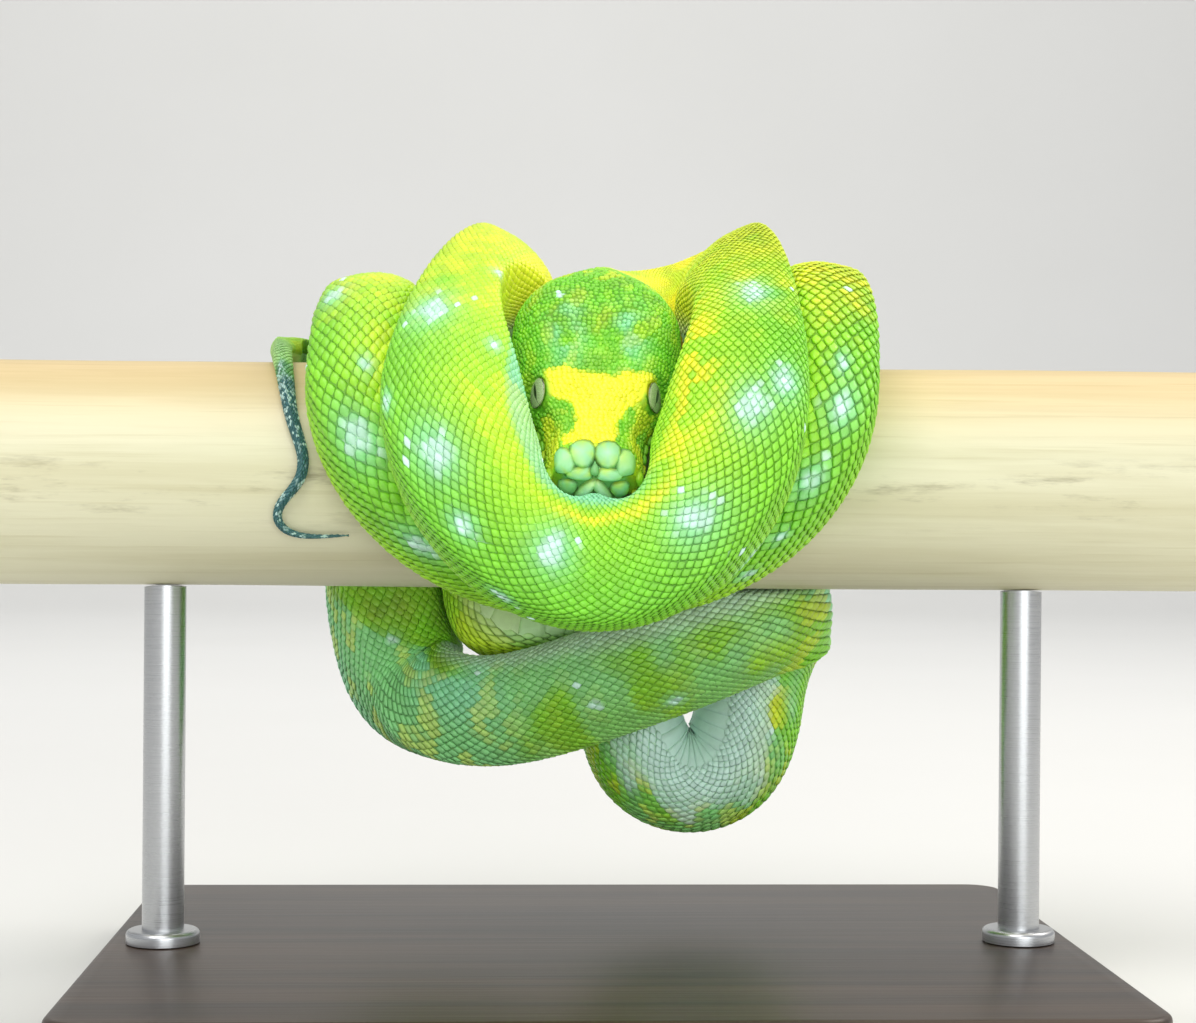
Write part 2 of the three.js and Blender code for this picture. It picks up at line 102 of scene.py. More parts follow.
def put_in(tree, value, socket):
    """Gives a socket a value: the output of another node, or a plain number or colour."""
    if isinstance(value, bpy.types.NodeSocket):
        tree.links.new(value, socket)
    else:
        socket.default_value = value


def add_node(tree, kind, values=None, **settings):
    """A node with its settings, and its inputs by name or number."""
    made = tree.nodes.new(kind)
    for key, value in settings.items():
        setattr(made, key, value)
    for key, value in (values or {}).items():
        put_in(tree, value, made.inputs[key])
    return made


def add_mix(tree, amount, first, second, blend="MIX"):
    """A colour mix: each of amount, first and second is an output or a plain value."""
    made = add_node(tree, "ShaderNodeMix", {0: amount, 6: first, 7: second},
                    data_type="RGBA", blend_type=blend, clamp_result=False)
    return made.outputs[2]


def add_sum(tree, operation, first, second=0.0, third=0.0):
    """A maths node over outputs or plain numbers."""
    return add_node(tree, "ShaderNodeMath", {0: first, 1: second, 2: third}, operation=operation).outputs[0]


def add_range(tree, value, low, high, to_low=0.0, to_high=1.0):
    """A smooth step of a value from one range to another."""
    made = add_node(tree, "ShaderNodeMapRange", {0: value, 1: low, 2: high, 3: to_low, 4: to_high},
                    interpolation_type="SMOOTHSTEP")
    return made.outputs[0]


def add_place(tree, values=None):
    """Places on the piece, stretched or moved by a mapping where its values are given."""
    place = add_node(tree, "ShaderNodeTexCoord").outputs["Object"]
    if values is None:
        return place
    return add_node(tree, "ShaderNodeMapping", {"Vector": place, **values}).outputs["Vector"]


def add_noise(tree, vector, scale, detail, roughness=0.5, distortion=0.0):
    """A soft noise over places."""
    made = add_node(tree, "ShaderNodeTexNoise", {"Vector": vector, "Scale": scale, "Detail": detail,
                                                 "Roughness": roughness, "Distortion": distortion})
    return made.outputs["Fac"]


def select_edges(piece, wanted):
    """Enters edit mode with only the edges whose two ends pass the test."""
    bpy.context.view_layer.objects.active = piece
    bpy.ops.object.mode_set(mode="EDIT")
    bpy.ops.mesh.select_mode(type="EDGE")
    bpy.ops.mesh.select_all(action="DESELECT")
    bpy.ops.object.mode_set(mode="OBJECT")
    for edge in piece.data.edges:
        first, second = [piece.data.vertices[v].co for v in edge.vertices]
        edge.select = bool(wanted(first, second))
    bpy.ops.object.mode_set(mode="EDIT")


bpy.ops.mesh.primitive_plane_add(size=1.0, location=(0, 0.2, 0))
floor = bpy.context.object
floor.name = "floor"
floor.scale = (FLOOR_WIDTH, FLOOR_DEPTH, 1.0)
bpy.ops.object.transform_apply(location=True, rotation=True, scale=True)
select_edges(floor, lambda a, b: min(a.y, b.y) > 2.0)
for step in range(SWEEP_STEPS):
    turn = math.radians(90 / SWEEP_STEPS * (step + 1) - SWEEP_TILT)
    bpy.ops.mesh.extrude_region_move(
        TRANSFORM_OT_translate={"value": (0, SWEEP_STEP * math.cos(turn), SWEEP_STEP * math.sin(turn))})
bpy.ops.mesh.extrude_region_move(TRANSFORM_OT_translate={"value": (0, 0, WALL_RISE)})
bpy.ops.mesh.select_all(action="SELECT")
bpy.ops.mesh.normals_make_consistent(inside=False)
bpy.ops.object.mode_set(mode="OBJECT")
bpy.ops.object.shade_smooth()
floor_material, tree, shader = new_material("floor_paper", 0.85)
mottled = add_noise(tree, add_place(tree), 3.0, 4.0)
paper = add_mix(tree, mottled, paint(226, 225, 221), paint(231, 230, 227))
put_in(tree, paper, shader.inputs["Base Color"])
floor.data.materials.append(floor_material)


def add_lamp(name, place, target, size, power, colour):
    """A square soft lamp that faces its target."""
    bpy.ops.object.light_add(type="AREA", location=place)
    lamp = bpy.context.object
    lamp.name = name
    lamp.rotation_euler = (Vector(place) - Vector(target)).to_track_quat("Z", "Y").to_euler()
    lamp.data.size = size
    lamp.data.energy = power
    lamp.data.color = colour


middle = (0, 0, PERCH_HEIGHT)
add_lamp("lamp_over", (-0.35, -0.75, 1.25), middle, 0.9, 10.4, (1.0, 0.985, 0.96))
add_lamp("lamp_right", (0.85, 0.15, 0.95), middle, 0.5, 5.0, (1.0, 0.955, 0.88))
add_lamp("lamp_low", (0.25, -1.25, 0.12), middle, 0.9, 8.0, (0.97, 1.0, 1.0))
add_lamp("lamp_wall", (0.0, 0.9, 1.9), (0.0, 2.6, 0.7), 1.6, 22.0, (1.0, 1.0, 1.0))
world = bpy.data.worlds.new("room")
bpy.context.scene.world = world
world.use_nodes = True
room = world.node_tree.nodes["Background"]
room.inputs["Color"].default_value = (0.95, 0.97, 1.0, 1.0)
room.inputs["Strength"].default_value = 0.55


# ---- Display stand: board ----
# A flat board of dark stained wood, sawn from one plank, its corners rounded, its top edge
# eased and the edge of its underside just broken.
BOARD_CORNER = 0.009
BOARD_EDGE = 0.0016
BOARD_FOOT = 0.0006
board_low, board_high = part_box("stand_base")


def new_group(name, inputs):
    """A node group whose inputs are colours, numbers or vectors, with a colour and a height out."""
    made = bpy.data.node_groups.new(name, "ShaderNodeTree")
    for label, value in inputs.items():
        kind = {float: "Float", tuple: "Color", type(None): "Vector"}[type(value)]
        socket = made.interface.new_socket(label, in_out="INPUT", socket_type="NodeSocket" + kind)
        if value is not None:
            socket.default_value = value
    made.interface.new_socket("Color", in_out="OUTPUT", socket_type="NodeSocketColor")
    made.interface.new_socket("Height", in_out="OUTPUT", socket_type="NodeSocketFloat")
    return made, made.nodes.new("NodeGroupInput").outputs, made.nodes.new("NodeGroupOutput").inputs


def build_grain_group():
    """Wood grain along X: long streaks, fine pores and slow changes of tone."""
    made, given, result = new_group("wood_grain", {
        "Pale": paint(220, 205, 170), "Dark": paint(150, 120, 80), "Stain": paint(120, 105, 70),
        "Streaks": 60.0, "Stain Amount": 0.4, "Contrast": 0.5})
    long_way, fine_way, stain_way = (add_place(made, {"Scale": (stretch, 1.0, 1.0)})
                                     for stretch in (0.045, 0.02, 0.16))
    streak = add_noise(made, long_way, given["Streaks"], 5.0, 0.62, 0.25)
    fine = add_noise(made, fine_way, 700.0, 3.0, 0.6)
    stain = add_noise(made, stain_way, 105.0, 6.0, 0.7)
    line = add_sum(made, "MULTIPLY", add_range(made, streak, 0.34, 0.68), given["Contrast"])
    mark = add_sum(made, "MULTIPLY", add_range(made, stain, 0.53, 0.70), given["Stain Amount"])
    tone = add_mix(made, line, given["Pale"], given["Dark"])
    tone = add_mix(made, add_range(made, fine, 0.56, 0.72, 0.0, 0.35), tone, given["Dark"])
    put_in(made, add_mix(made, mark, tone, given["Stain"]), result["Color"])
    put_in(made, add_sum(made, "ADD", fine, streak), result["Height"])
    return made


wood_grain = build_grain_group()


def add_bump(tree, shader, height, strength, distance):
    """A bump from a height that changes over the surface."""
    bump = add_node(tree, "ShaderNodeBump", {"Strength": strength, "Distance": distance, "Height": height})
    put_in(tree, bump.outputs["Normal"], shader.inputs["Normal"])


def place_mesh(piece):
    """Puts a piece's place into its mesh, with its object at the origin."""
    bpy.ops.object.select_all(action="DESELECT")
    piece.select_set(True)
    bpy.context.view_layer.objects.active = piece
    bpy.ops.object.transform_apply(location=True, rotation=True, scale=True)


def ease_edges(piece, wanted, offset, segments):
    """Rounds off the edges of a piece that pass the test."""
    select_edges(piece, wanted)
    bpy.ops.mesh.bevel(offset=offset, segments=segments, affect="EDGES")
    bpy.ops.object.mode_set(mode="OBJECT")


def new_cylinder(sides, radius, depth, place, rotation=(0, 0, 0)):
    """A plain cylinder, with nothing else selected."""
    bpy.ops.object.select_all(action="DESELECT")
    bpy.ops.mesh.primitive_cylinder_add(vertices=sides, radius=radius, depth=depth, location=place,
                                        rotation=rotation)
    made = bpy.context.object
    place_mesh(made)
    return made


bpy.ops.object.select_all(action="DESELECT")
bpy.ops.mesh.primitive_cube_add(size=1.0, location=(board_low + board_high) / 2)
board = bpy.context.object
board.name = "board"
board.scale = board_high - board_low
place_mesh(board)
ease_edges(board, lambda a, b: abs(a.z - b.z) > 0.005, BOARD_CORNER, 8)
ease_edges(board, lambda a, b: min(a.z, b.z) > board_high.z - 1e-5, BOARD_EDGE, 4)
ease_edges(board, lambda a, b: max(a.z, b.z) < board_low.z + 1e-5, BOARD_FOOT, 2)
bpy.ops.object.shade_smooth_by_angle(angle=math.radians(40))
board_material, tree, shader = new_material("board_stained_wood", 0.42,
                                            Coat_Weight=0.15, Coat_Roughness=0.3)
grain = add_node(tree, "ShaderNodeGroup", node_tree=wood_grain)
for key, value in (("Pale", paint(70, 54, 42)), ("Dark", paint(34, 25, 20)), ("Stain", paint(48, 36, 28)),
                   ("Streaks", 95.0), ("Contrast", 0.85)):
    grain.inputs[key].default_value = value
put_in(tree, grain.outputs["Color"], shader.inputs["Base Color"])
add_bump(tree, shader, grain.outputs["Height"], 0.25, 0.0004)
board.data.materials.append(board_material)
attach(board, "root")
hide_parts("stand_base")


# ---- Display stand: rods ----
# Two short brushed steel rods, screwed into the board through a thin turned collar, their
# tops hollowed to the round of the perch and glued to it.
ROD_SIDES = 56
COLLAR_RADIUS = 0.0088
COLLAR_HEIGHT = 0.0032
COLLAR_EDGE = 0.0013
GLUE = 0.0003
PERCH_RADIUS = (perch_high.z - perch_low.z) / 2
steel, tree, shader = new_material("rod_brushed_steel", 0.32, Metallic=1.0)
brush = add_noise(tree, add_place(tree, {"Scale": (30.0, 30.0, 6000.0)}), 1.0, 3.0, 0.7)
tone = add_mix(tree, brush, paint(170, 172, 175), paint(214, 215, 216))
put_in(tree, tone, shader.inputs["Base Color"])
put_in(tree, add_range(tree, brush, 0.3, 0.7, 0.24, 0.42), shader.inputs["Roughness"])
add_bump(tree, shader, brush, 0.12, 0.0001)
for name in ("stand_rod_left", "stand_rod_right"):
    low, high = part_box(name)
    centre_x = (low.x + high.x) / 2
    rod = new_cylinder(ROD_SIDES, (high.x - low.x) / 2, high.z - low.z, (centre_x, 0, (low.z + high.z) / 2))
    rod.name = name.replace("stand_", "") + "_steel"
    for vertex in rod.data.vertices:
        if vertex.co.z > low.z + 0.01:
            vertex.co.z = PERCH_HEIGHT - math.sqrt((PERCH_RADIUS + GLUE) ** 2 - vertex.co.y ** 2)
        else:
            vertex.co.z = low.z
    collar = new_cylinder(ROD_SIDES, COLLAR_RADIUS, COLLAR_HEIGHT, (centre_x, 0, low.z + COLLAR_HEIGHT / 2))
    ease_edges(collar, lambda a, b: min(a.z, b.z) > low.z + COLLAR_HEIGHT - 1e-5, COLLAR_EDGE, 5)
    bpy.ops.object.select_all(action="DESELECT")
    collar.select_set(True)
    rod.select_set(True)
    bpy.context.view_layer.objects.active = rod
    bpy.ops.object.join()
    bpy.ops.object.shade_smooth_by_angle(angle=math.radians(35))
    rod.data.materials.append(steel)
    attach(rod, "root")
    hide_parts(name)


# ---- Perch ----
# A straight peeled pole of pale softwood, sanded smooth by hand so that it is never quite
# round, with weathered streaks along it, its top tinted warmer as painted warm light, and its two ends sawn
# square.
POLE_SIDES = 144
POLE_RINGS = 60
POLE_EDGE = 0.0009
POLE_WEAR = 0.00012
POLE_WAVE = 0.00005
pole = new_cylinder(POLE_SIDES, PERCH_RADIUS, perch_high.x - perch_low.x, (0, 0, PERCH_HEIGHT),
                    (0, math.pi / 2, 0))
pole.name = "pole"
select_edges(pole, lambda a, b: abs(a.x - b.x) > 0.1)
bpy.ops.mesh.subdivide(number_cuts=POLE_RINGS)
bpy.ops.object.mode_set(mode="OBJECT")
ease_edges(pole, lambda a, b: abs(a.x - b.x) < 1e-6 and abs(a.x) > perch_high.x - 1e-5, POLE_EDGE, 3)
for vertex in pole.data.vertices:
    x, y, z = vertex.co.x, vertex.co.y, vertex.co.z - PERCH_HEIGHT
    turn = math.atan2(y, z)
    wave = math.sin(41 * x + 2 * turn) + math.sin(23 * x - 3 * turn + 1) + math.sin(67 * x + turn + 4)
    shrink = 1 - (POLE_WEAR + POLE_WAVE * wave) / PERCH_RADIUS
    vertex.co.y = y * shrink
    vertex.co.z = z * shrink + PERCH_HEIGHT
bpy.ops.object.shade_smooth_by_angle(angle=math.radians(30))
pole_material, tree, shader = new_material("pole_pale_wood", 0.5)
grain = add_node(tree, "ShaderNodeGroup", node_tree=wood_grain)
for key, value in (("Pale", paint(226, 222, 190)), ("Dark", paint(196, 188, 146)),
                   ("Stain", paint(138, 130, 96)), ("Streaks", 120.0)):
    grain.inputs[key].default_value = value
parts = add_node(tree, "ShaderNodeSeparateXYZ", {"Vector": add_place(tree)})
height = add_sum(tree, "SUBTRACT", parts.outputs["Z"], PERCH_HEIGHT)
low_band = add_range(tree, height, -0.016, -0.004)
high_band = add_range(tree, height, -0.002, 0.008, 1.0, 0.0)
band = add_sum(tree, "MULTIPLY", low_band, high_band)
put_in(tree, add_sum(tree, "MULTIPLY", band, 0.75), grain.inputs["Stain Amount"])
# The top of the pole is tinted warmer: painted warm light falling on it from above.
painted_warm_light = add_mix(tree, add_range(tree, height, 0.004, 0.026), (1, 1, 1, 1), paint(255, 232, 205), "MULTIPLY")
grain_and_painted_light = add_mix(tree, 1.0, grain.outputs["Color"], painted_warm_light, "MULTIPLY")
put_in(tree, grain_and_painted_light, shader.inputs["Base Color"])
add_bump(tree, shader, grain.outputs["Height"], 0.2, 0.0004)
pole.data.materials.append(pole_material)
end_material, tree, shader = new_material("pole_end_grain", 0.7)
centred = add_place(tree, {"Location": (0, 0, -PERCH_HEIGHT), "Scale": (0.2, 1.0, 1.0)})
rings = add_node(tree, "ShaderNodeTexWave",
                 {"Vector": centred, "Scale": 95.0, "Distortion": 1.6, "Detail": 2.0, "Detail Scale": 30.0},
                 wave_type="RINGS", rings_direction="X")
tone = add_mix(tree, rings.outputs["Fac"], paint(214, 198, 156), paint(176, 150, 104))
put_in(tree, tone, shader.inputs["Base Color"])
add_bump(tree, shader, rings.outputs["Fac"], 0.2, 0.0003)
pole.data.materials.append(end_material)
for face in pole.data.polygons:
    if abs(face.normal.x) > 0.9:
        face.material_index = 1
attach(pole, "root")
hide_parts("perch")


# ---- The python: the line of its backbone ----
# The body is one unbroken tube wound over the perch. Its backbone runs from the snout over
# the crest, round three loops in front and behind, down the back, and up again to the tail.
# Lengths from here to the eyes are in millimetres, from the middle of the board's underside.
POLE = 27.0
AXIS = 125.0
FINE = 1.2
TAIL = 215.0


def over_perch(x, degrees, height):
    """A place over the perch: along it, the angle round it from its crest, and the height."""
    turn = math.radians(degrees)
    reach = POLE + height
    return np.array([x, reach * math.sin(turn), AXIS + reach * math.cos(turn)])


def between(rows, shares):
    """Straight steps through rows, at shares from 0 to 1."""
    u = np.clip(shares, 0, 1) * (len(rows) - 1)
    first = np.minimum(u.astype(int), len(rows) - 2)
    part = (u - first)[:, None]
    return rows[first] * (1 - part) + rows[first + 1] * part


def way(rows, count):
    """A smooth way through places, each row a place and the direction of the spine there."""
    places = np.array([row[0] for row in rows])
    spines = np.array([row[1] for row in rows], float)
    ends = [2 * places[0] - places[1], 2 * places[-1] - places[-2]]
    padded = np.vstack([ends[:1], places, ends[1:]])
    shares = np.arange(count + 1) / count
    u = shares * (len(places) - 1)
    k = np.minimum(u.astype(int), len(places) - 2)
    t = (u - k)[:, None]
    a, b, c, d = (padded[k + j] for j in range(4))
    gap0, gap1, gap2 = (np.sqrt(np.linalg.norm(q - p, axis=1))[:, None]
                        for p, q in ((a, b), (b, c), (c, d)))
    leave = ((b - a) / gap0 - (c - a) / (gap0 + gap1) + (c - b) / gap1) * gap1
    arrive = ((c - b) / gap1 - (d - b) / (gap1 + gap2) + (d - c) / gap2) * gap1
    line = (b + leave * t + (3 * (c - b) - 2 * leave - arrive) * t ** 2
            + (2 * (b - c) + leave + arrive) * t ** 3)
    return line, between(spines, shares)


def free(x, y, z, *spine):
    """A row of a way, by its place from the perch's axis."""
    return np.array([x, y, AXIS + z]), spine


def held(x, degrees, height, *spine):
    """A row of a way, by its place round the perch."""
    return over_perch(x, degrees, height), spine


def hanging_loop(side, crossings, arms, low, turn, bottom, heights, spines, count=240):
    """A loop over one side of the perch: down an arm, round a quarter ellipse, and up again."""
    rows = []
    for share in np.arange(count + 1) / count:
        half = 0 if share < 0.5 else 1
        u = 2 - 2 * share if half else 2 * share
        e = max(u * 2 - 1, 0) * math.pi / 2
        down = min(u * 2, 1)
        if u < 0.5:
            x = crossings[half] + (arms[half] - crossings[half]) * down
            angle = turn * down
        else:
            x = low + (arms[half] - low) * math.cos(e)
            angle = turn + (bottom - turn) * math.sin(e)
        out = math.sin(min(angle / bottom, 1) * math.pi / 2) ** 4
        height = heights[half * 2] + (heights[1] - heights[half * 2]) * out
        rows.append(over_perch(x, side * angle, height))
    return np.array(rows), between(np.array(spines, float), np.arange(count + 1) / count)


neck_way = way([
    free(-4.1, -58.9, -4.2, 0, -0.84, 0.545), free(-3.3, -47, 14, 0, -0.84, 0.545),
    free(-2.4, -34.8, 32.6, 0, -0.84, 0.545), free(-1.3, -23.5, 38.4, 0, -0.25, 1),
    free(1, -9, 39.5, 0, 0, 1), free(5, 5, 39.5, 0, 0, 1), free(12, 13.5, 39.5, 0, 0, 1),
    free(22, 15, 40.5, 0, 0, 1), free(30.5, 9, 43, 0.1, 0, 1), free(34, 0, 45, 0.2, 0, 1)], 270)
inner_loop = hanging_loop(
    -1, (34, -24), (26, -34), -3.7, 77, 107.4, (18, 36.5, 16.5),
    [(0.2, 0, 1), (0.8, -0.7, 0.2), (0, -1, -0.9), (-0.85, -0.55, 0.2), (-0.12, 0, 1)])
back_loop = hanging_loop(
    1, (-24, 53), (-33, 44), -17, 55, 144, (16.5, 19.2, 13),
    [(-0.12, 0, 1), (-0.8, 0.8, 0.2), (0, 1, -0.6), (0.8, 0.8, 0.5), (0.85, 0, 1)])
outer_loop = hanging_loop(
    -1, (53, -55), (49.8, -56.5), -3, 56, 121, (13, 13, 9.5),
    [(0.85, 0, 1), (0.8, -0.7, 0.1), (0, -1, -0.6), (-0.8, -0.7, 0.1), (-0.85, 0, 1)])
low_loop = way([
    held(-55, 0, 9.5, -0.85, 0, 1), held(-57, 40, 11, -0.9, 0.5, 0.4), held(-56.5, 80, 14.5, -1, -0.1, 0),
    held(-53, 108, 18, -0.8, -0.7, 0), held(-51.5, 131, 26.5, -0.5, -1, -0.1),
    held(-45, 146.5, 38, -0.1, -1, -0.25), held(-25, 160.5, 34.5, 0.1, -0.6, -0.9),
    held(11, 169.5, 19.5, 0, -0.05, -1), held(34, 164.5, 11.5, 0.2, 0, -1), held(48, 147, 12, 0.5, 0.2, -1),
    held(46.5, 140, 21.5, 0.9, 0.3, -0.5), held(42.4, 144.2, 34, 1, 0.4, -0.2),
    held(40.6, 149.9, 46.5, 1, 0.5, -0.2), held(36.4, 153.1, 56, 0.8, 0.5, -0.7),
    held(26.2, 154.1, 60, 0, 0.6, -1), held(16, 153.1, 56, -0.8, 0.5, -0.7),
    held(11.4, 149.7, 46, -1, 0.5, -0.2), held(5.5, 140.5, 39.5, -0.7, 0.8, -0.2),
    held(-8, 127, 40, -0.4, 1, -0.1), held(-26, 108, 40, -0.3, 1, 0.2),
    held(-49.5, 84, 40, -0.2, 0.9, 0.5), held(-70, 55, 24.5, -0.3, 0.6, 0.9),
    held(-76.5, 25, 7, -0.4, 0.3, 1), held(-77, 0, 3.4, -0.4, 0, 1)], 720)
tail_curl = way([
    held(-77, 0, 3.4, -0.4, 0, 1), held(-75.5, -25, 3.2, -0.3, -0.5, 1),
    held(-74, -43, 3, -0.2, -0.8, 0.8), held(-71.7, -68, 2.7, 0, -1, 0.4),
    held(-68.5, -84, 2.3, 0, -1, 0.1), held(-69.5, -95, 2, 0, -1, 0), held(-75, -104, 1.8, 0, -1, -0.2),
    held(-76.5, -112, 1.7, 0, -1, -0.3), held(-73.5, -120, 1.6, 0, -1, -0.5),
    held(-67, -121.5, 1.5, 0, -1, -0.5), held(-58.5, -120.5, 1.3, 0, -1, -0.5)], 240)


def spaced(places, spines):
    """The same line with its points at an even spacing."""
    far = np.append(0, np.cumsum(np.linalg.norm(np.diff(places, axis=0), axis=1)))
    even = np.linspace(0, far[-1], round(far[-1] / FINE) + 1)
    return tuple(np.stack([np.interp(even, far, rows[:, k]) for k in range(3)], 1)
                 for rows in (places, spines)) + (even,)


def eased(rows, rounds):
    """Rows with their bends eased, the two ends kept."""
    for _ in range(rounds):
        rows = np.vstack([rows[:1], (rows[:-2] + 2 * rows[1:-1] + rows[2:]) / 4, rows[-1:]])
    return rows


def unit(rows):
    """Rows of length one."""
    return rows / np.maximum(np.linalg.norm(rows, axis=-1, keepdims=True), 1e-9)


LINE_EASING = 20
SPINE_EASING = 60
ways = [neck_way, inner_loop, back_loop, outer_loop, low_loop, tail_curl]
line_at = np.vstack([rows[0][1 if k else 0:] for k, rows in enumerate(ways)])
line_spine = np.vstack([rows[1][1 if k else 0:] for k, rows in enumerate(ways)])
line_at, line_spine, line_far = spaced(line_at, line_spine)
line_at, line_spine, line_far = spaced(eased(line_at, LINE_EASING), eased(line_spine, SPINE_EASING))
LENGTH = line_far[-1]
VENT = LENGTH - TAIL
ahead = np.vstack([line_at[1:], line_at[-1:]])
behind = np.vstack([line_at[:1], line_at[:-1]])
line_along = unit(ahead - behind)
line_bend = (np.vstack([line_along[1:], line_along[-1:]])
             - np.vstack([line_along[:1], line_along[:-1]])) / (2 * FINE)
line_up = unit(line_spine - line_along * (line_spine * line_along).sum(1, keepdims=True))
line_right = np.cross(line_up, line_along)


def on_line(rows, far):
    """Rows of the backbone read at any distance from the snout."""
    return np.stack([np.interp(far, line_far, rows[:, k]) for k in range(3)], -1)


# ---- The python: its cross-sections ----
# A tall, muscular oval with a ridge over the spine, fuller toward the belly. The head is a
# rounded wedge with swollen temples and nose. Rows start with the distance from the snout, or
# with the share of the tail's length.
HEAD_ROWS = np.array([
    [0, 9.6, 5.8, 4.8], [3, 10.2, 6.4, 5.2], [7.5, 10.5, 6.9, 5.8], [12.5, 11.2, 7.1, 6.6],
    [17.5, 13.2, 7.9, 7.6], [22.5, 15.6, 9.0, 8.6], [27.5, 17.3, 9.9, 9.6], [32.5, 18.3, 10.8, 10.2],
    [38.5, 18.8, 11.3, 10.5], [45.5, 18.8, 11.1, 10.4], [50.5, 17.4, 10.6, 10.2], [54.5, 15, 10.2, 9.8],
    [59.5, 12, 9.8, 9.2], [66, 10.6, 9.6, 8.8], [76, 10.2, 10, 8.8]])
BODY_ROWS = np.array([
    [57, 10.6, 9.8], [80, 10.2, 10.2], [105, 11.6, 12.2], [135, 13.4, 16.3], [165, 14.4, 17],
    [195, 16, 18.4], [240, 15.8, 18], [285, 15.8, 18], [320, 14.4, 16.8], [370, 14.2, 16.4],
    [450, 14.3, 14.5], [560, 14.3, 13.8], [720, 14.3, 12.6], [835, 14.3, 12.4], [880, 17.6, 17.4],
    [930, 17.6, 17], [985, 15.2, 14.4], [1060, 14.4, 14.4], [1110, 15, 14.8], [1150, 14.6, 14.4],
    [VENT, 10.8, 10.6]])
TAIL_ROWS = np.array([[0, 1], [0.2, 0.76], [0.4, 0.48], [0.58, 0.32], [0.7, 0.24], [0.8, 0.17],
                      [0.92, 0.12], [1, 0.06]])
SWELLINGS = [
    # distance from the snout, angle from the crown, their spreads, and how far it stands out
    (41.5, 0.62, 9, 0.4, 1.5),
    (40.5, 0, 11, 0.22, -1.2),
    (23.5, 0.82, 6, 0.24, 1.0),
    (13.5, 1.3, 5, 0.34, -1.2),
    (12.5, 0.82, 6, 0.2, 0.5),
    (5, 0.5, 3.2, 0.36, 1.1),
    (5, 0, 4, 0.14, -0.6),
    (6, 1.72, 7, 0.34, 0.7),
    (37.5, 1.75, 9, 0.45, 0.7)]
HEAD_LENGTH = 57
HEAD_UNPRESSED = 54
NECK_EASE = (50, 78)
NECK_END = 80
SNOUT_ROUND = 3.2
TAIL_ROUND = 3
CLEAR_PERCH = 0.5
CLEAR_COILS = 0.75
OWN_REACH = 46
TIGHTEST_BEND = 0.93
SOFTNESS = 20.0
COAT = 0.5


def through(rows, column, far):
    """A smooth rise and fall through rows, that never overshoots them."""
    x, y = rows[:, 0], rows[:, column]
    slope = np.diff(y) / np.diff(x)
    first, second = slope[:-1], slope[1:]
    total = np.where(first * second > 0, first + second, 1)
    inner = np.where(first * second > 0, 2 * first * second / total, 0)
    tangent = np.concatenate([[0], inner, [0]])
    far = np.clip(far, x[0], x[-1])
    k = np.clip(np.searchsorted(x, far, side="right") - 1, 0, len(x) - 2)
    h = x[k + 1] - x[k]
    t = (far - x[k]) / h
    return ((2 * t ** 3 - 3 * t ** 2 + 1) * y[k] + (t ** 3 - 2 * t ** 2 + t) * tangent[k] * h
            + (3 * t ** 2 - 2 * t ** 3) * y[k + 1] + (t ** 3 - t ** 2) * tangent[k + 1] * h)


def ramp(low, high, value):
    """A smooth step from 0 at low to 1 at high."""
    t = np.clip((value - low) / (high - low), 0, 1)
    return t * t * (3 - 2 * t)


def hill(value, middle, spread):
    """A smooth hill of height 1."""
    return np.exp(-((value - middle) / spread) ** 2)


def blunt(far):
    """The round of the snout."""
    return (1 - (1 - np.minimum(far / SNOUT_ROUND, 1)) ** 3) ** (1 / 3)


def body_size(far):
    """Half width and half height of the body."""
    thin = through(TAIL_ROWS, 1, (far - VENT) / TAIL)
    tip = np.sqrt(np.clip((LENGTH - far) / TAIL_ROUND, 0, 1))
    return through(BODY_ROWS, 1, far) * thin * tip, through(BODY_ROWS, 2, far) * thin * tip


def body_section(far, angle):
    """A body ring, to the right of the backbone and over it."""
    wide, tall = body_size(far)
    c = np.cos(angle)
    ridge = 0.1 * hill(np.arctan2(np.sin(angle), c), 0, 0.33)
    return np.sin(angle) * (1 - 0.16 * c) * wide, c * (1 + ridge) * np.where(c < 0, 0.86, 1) * tall


def head_section(far, angle):
    """A head ring, a rounded box with its swellings."""
    wide, over, under = (through(HEAD_ROWS, k, far) * blunt(far) for k in (1, 2, 3))
    power = 2 / (2.7 - 0.5 * ramp(10, 45, far))
    c, s = np.cos(angle), np.sin(angle)
    lean = 0.20 * ramp(4, 14, far) - 0.14 * ramp(26, 40, far)
    x = np.sign(s) * np.abs(s) ** power * (1 - lean * c) * wide
    y = np.sign(c) * np.abs(c) ** power * np.where(c > 0, over, under)
    turn = np.abs(np.arctan2(s, c))
    out = sum(rise * hill(far, place, length) * hill(turn, at, spread)
              for place, at, length, spread, rise in SWELLINGS)
    grow = 1 + out * blunt(far) / np.maximum(np.hypot(x, y), 1e-6)
    return x * grow, y * grow


def section(far, angle):
    """Any ring: the head eases into the neck."""
    t = ramp(*NECK_EASE, far)
    body = body_section(far, angle)
    if far > NECK_END:
        return body
    head = head_section(far, angle)
    return head[0] * (1 - t) + body[0] * t, head[1] * (1 - t) + body[1] * t


def ring_size(far):
    """Half width and half height of rings, the head's too."""
    t = ramp(*NECK_EASE, far)
    wide, tall = body_size(np.maximum(far, HEAD_LENGTH))
    round_end = np.where(far > 0, blunt(np.maximum(far, 1e-6)), 0.05)
    head = [through(HEAD_ROWS, k, far) * round_end for k in (1, 2)]
    near = far <= NECK_END
    return (np.where(near, head[0] * (1 - t) + wide * t, wide),
            np.where(near, head[1] * (1 - t) + tall * t, tall))


line_wide, line_tall = ring_size(line_far)
other_at, other_far = line_at[::2], line_far[::2]
other_up, other_right = line_up[::2], line_right[::2]
other_wide, other_tall = line_wide[::2], line_tall[::2]


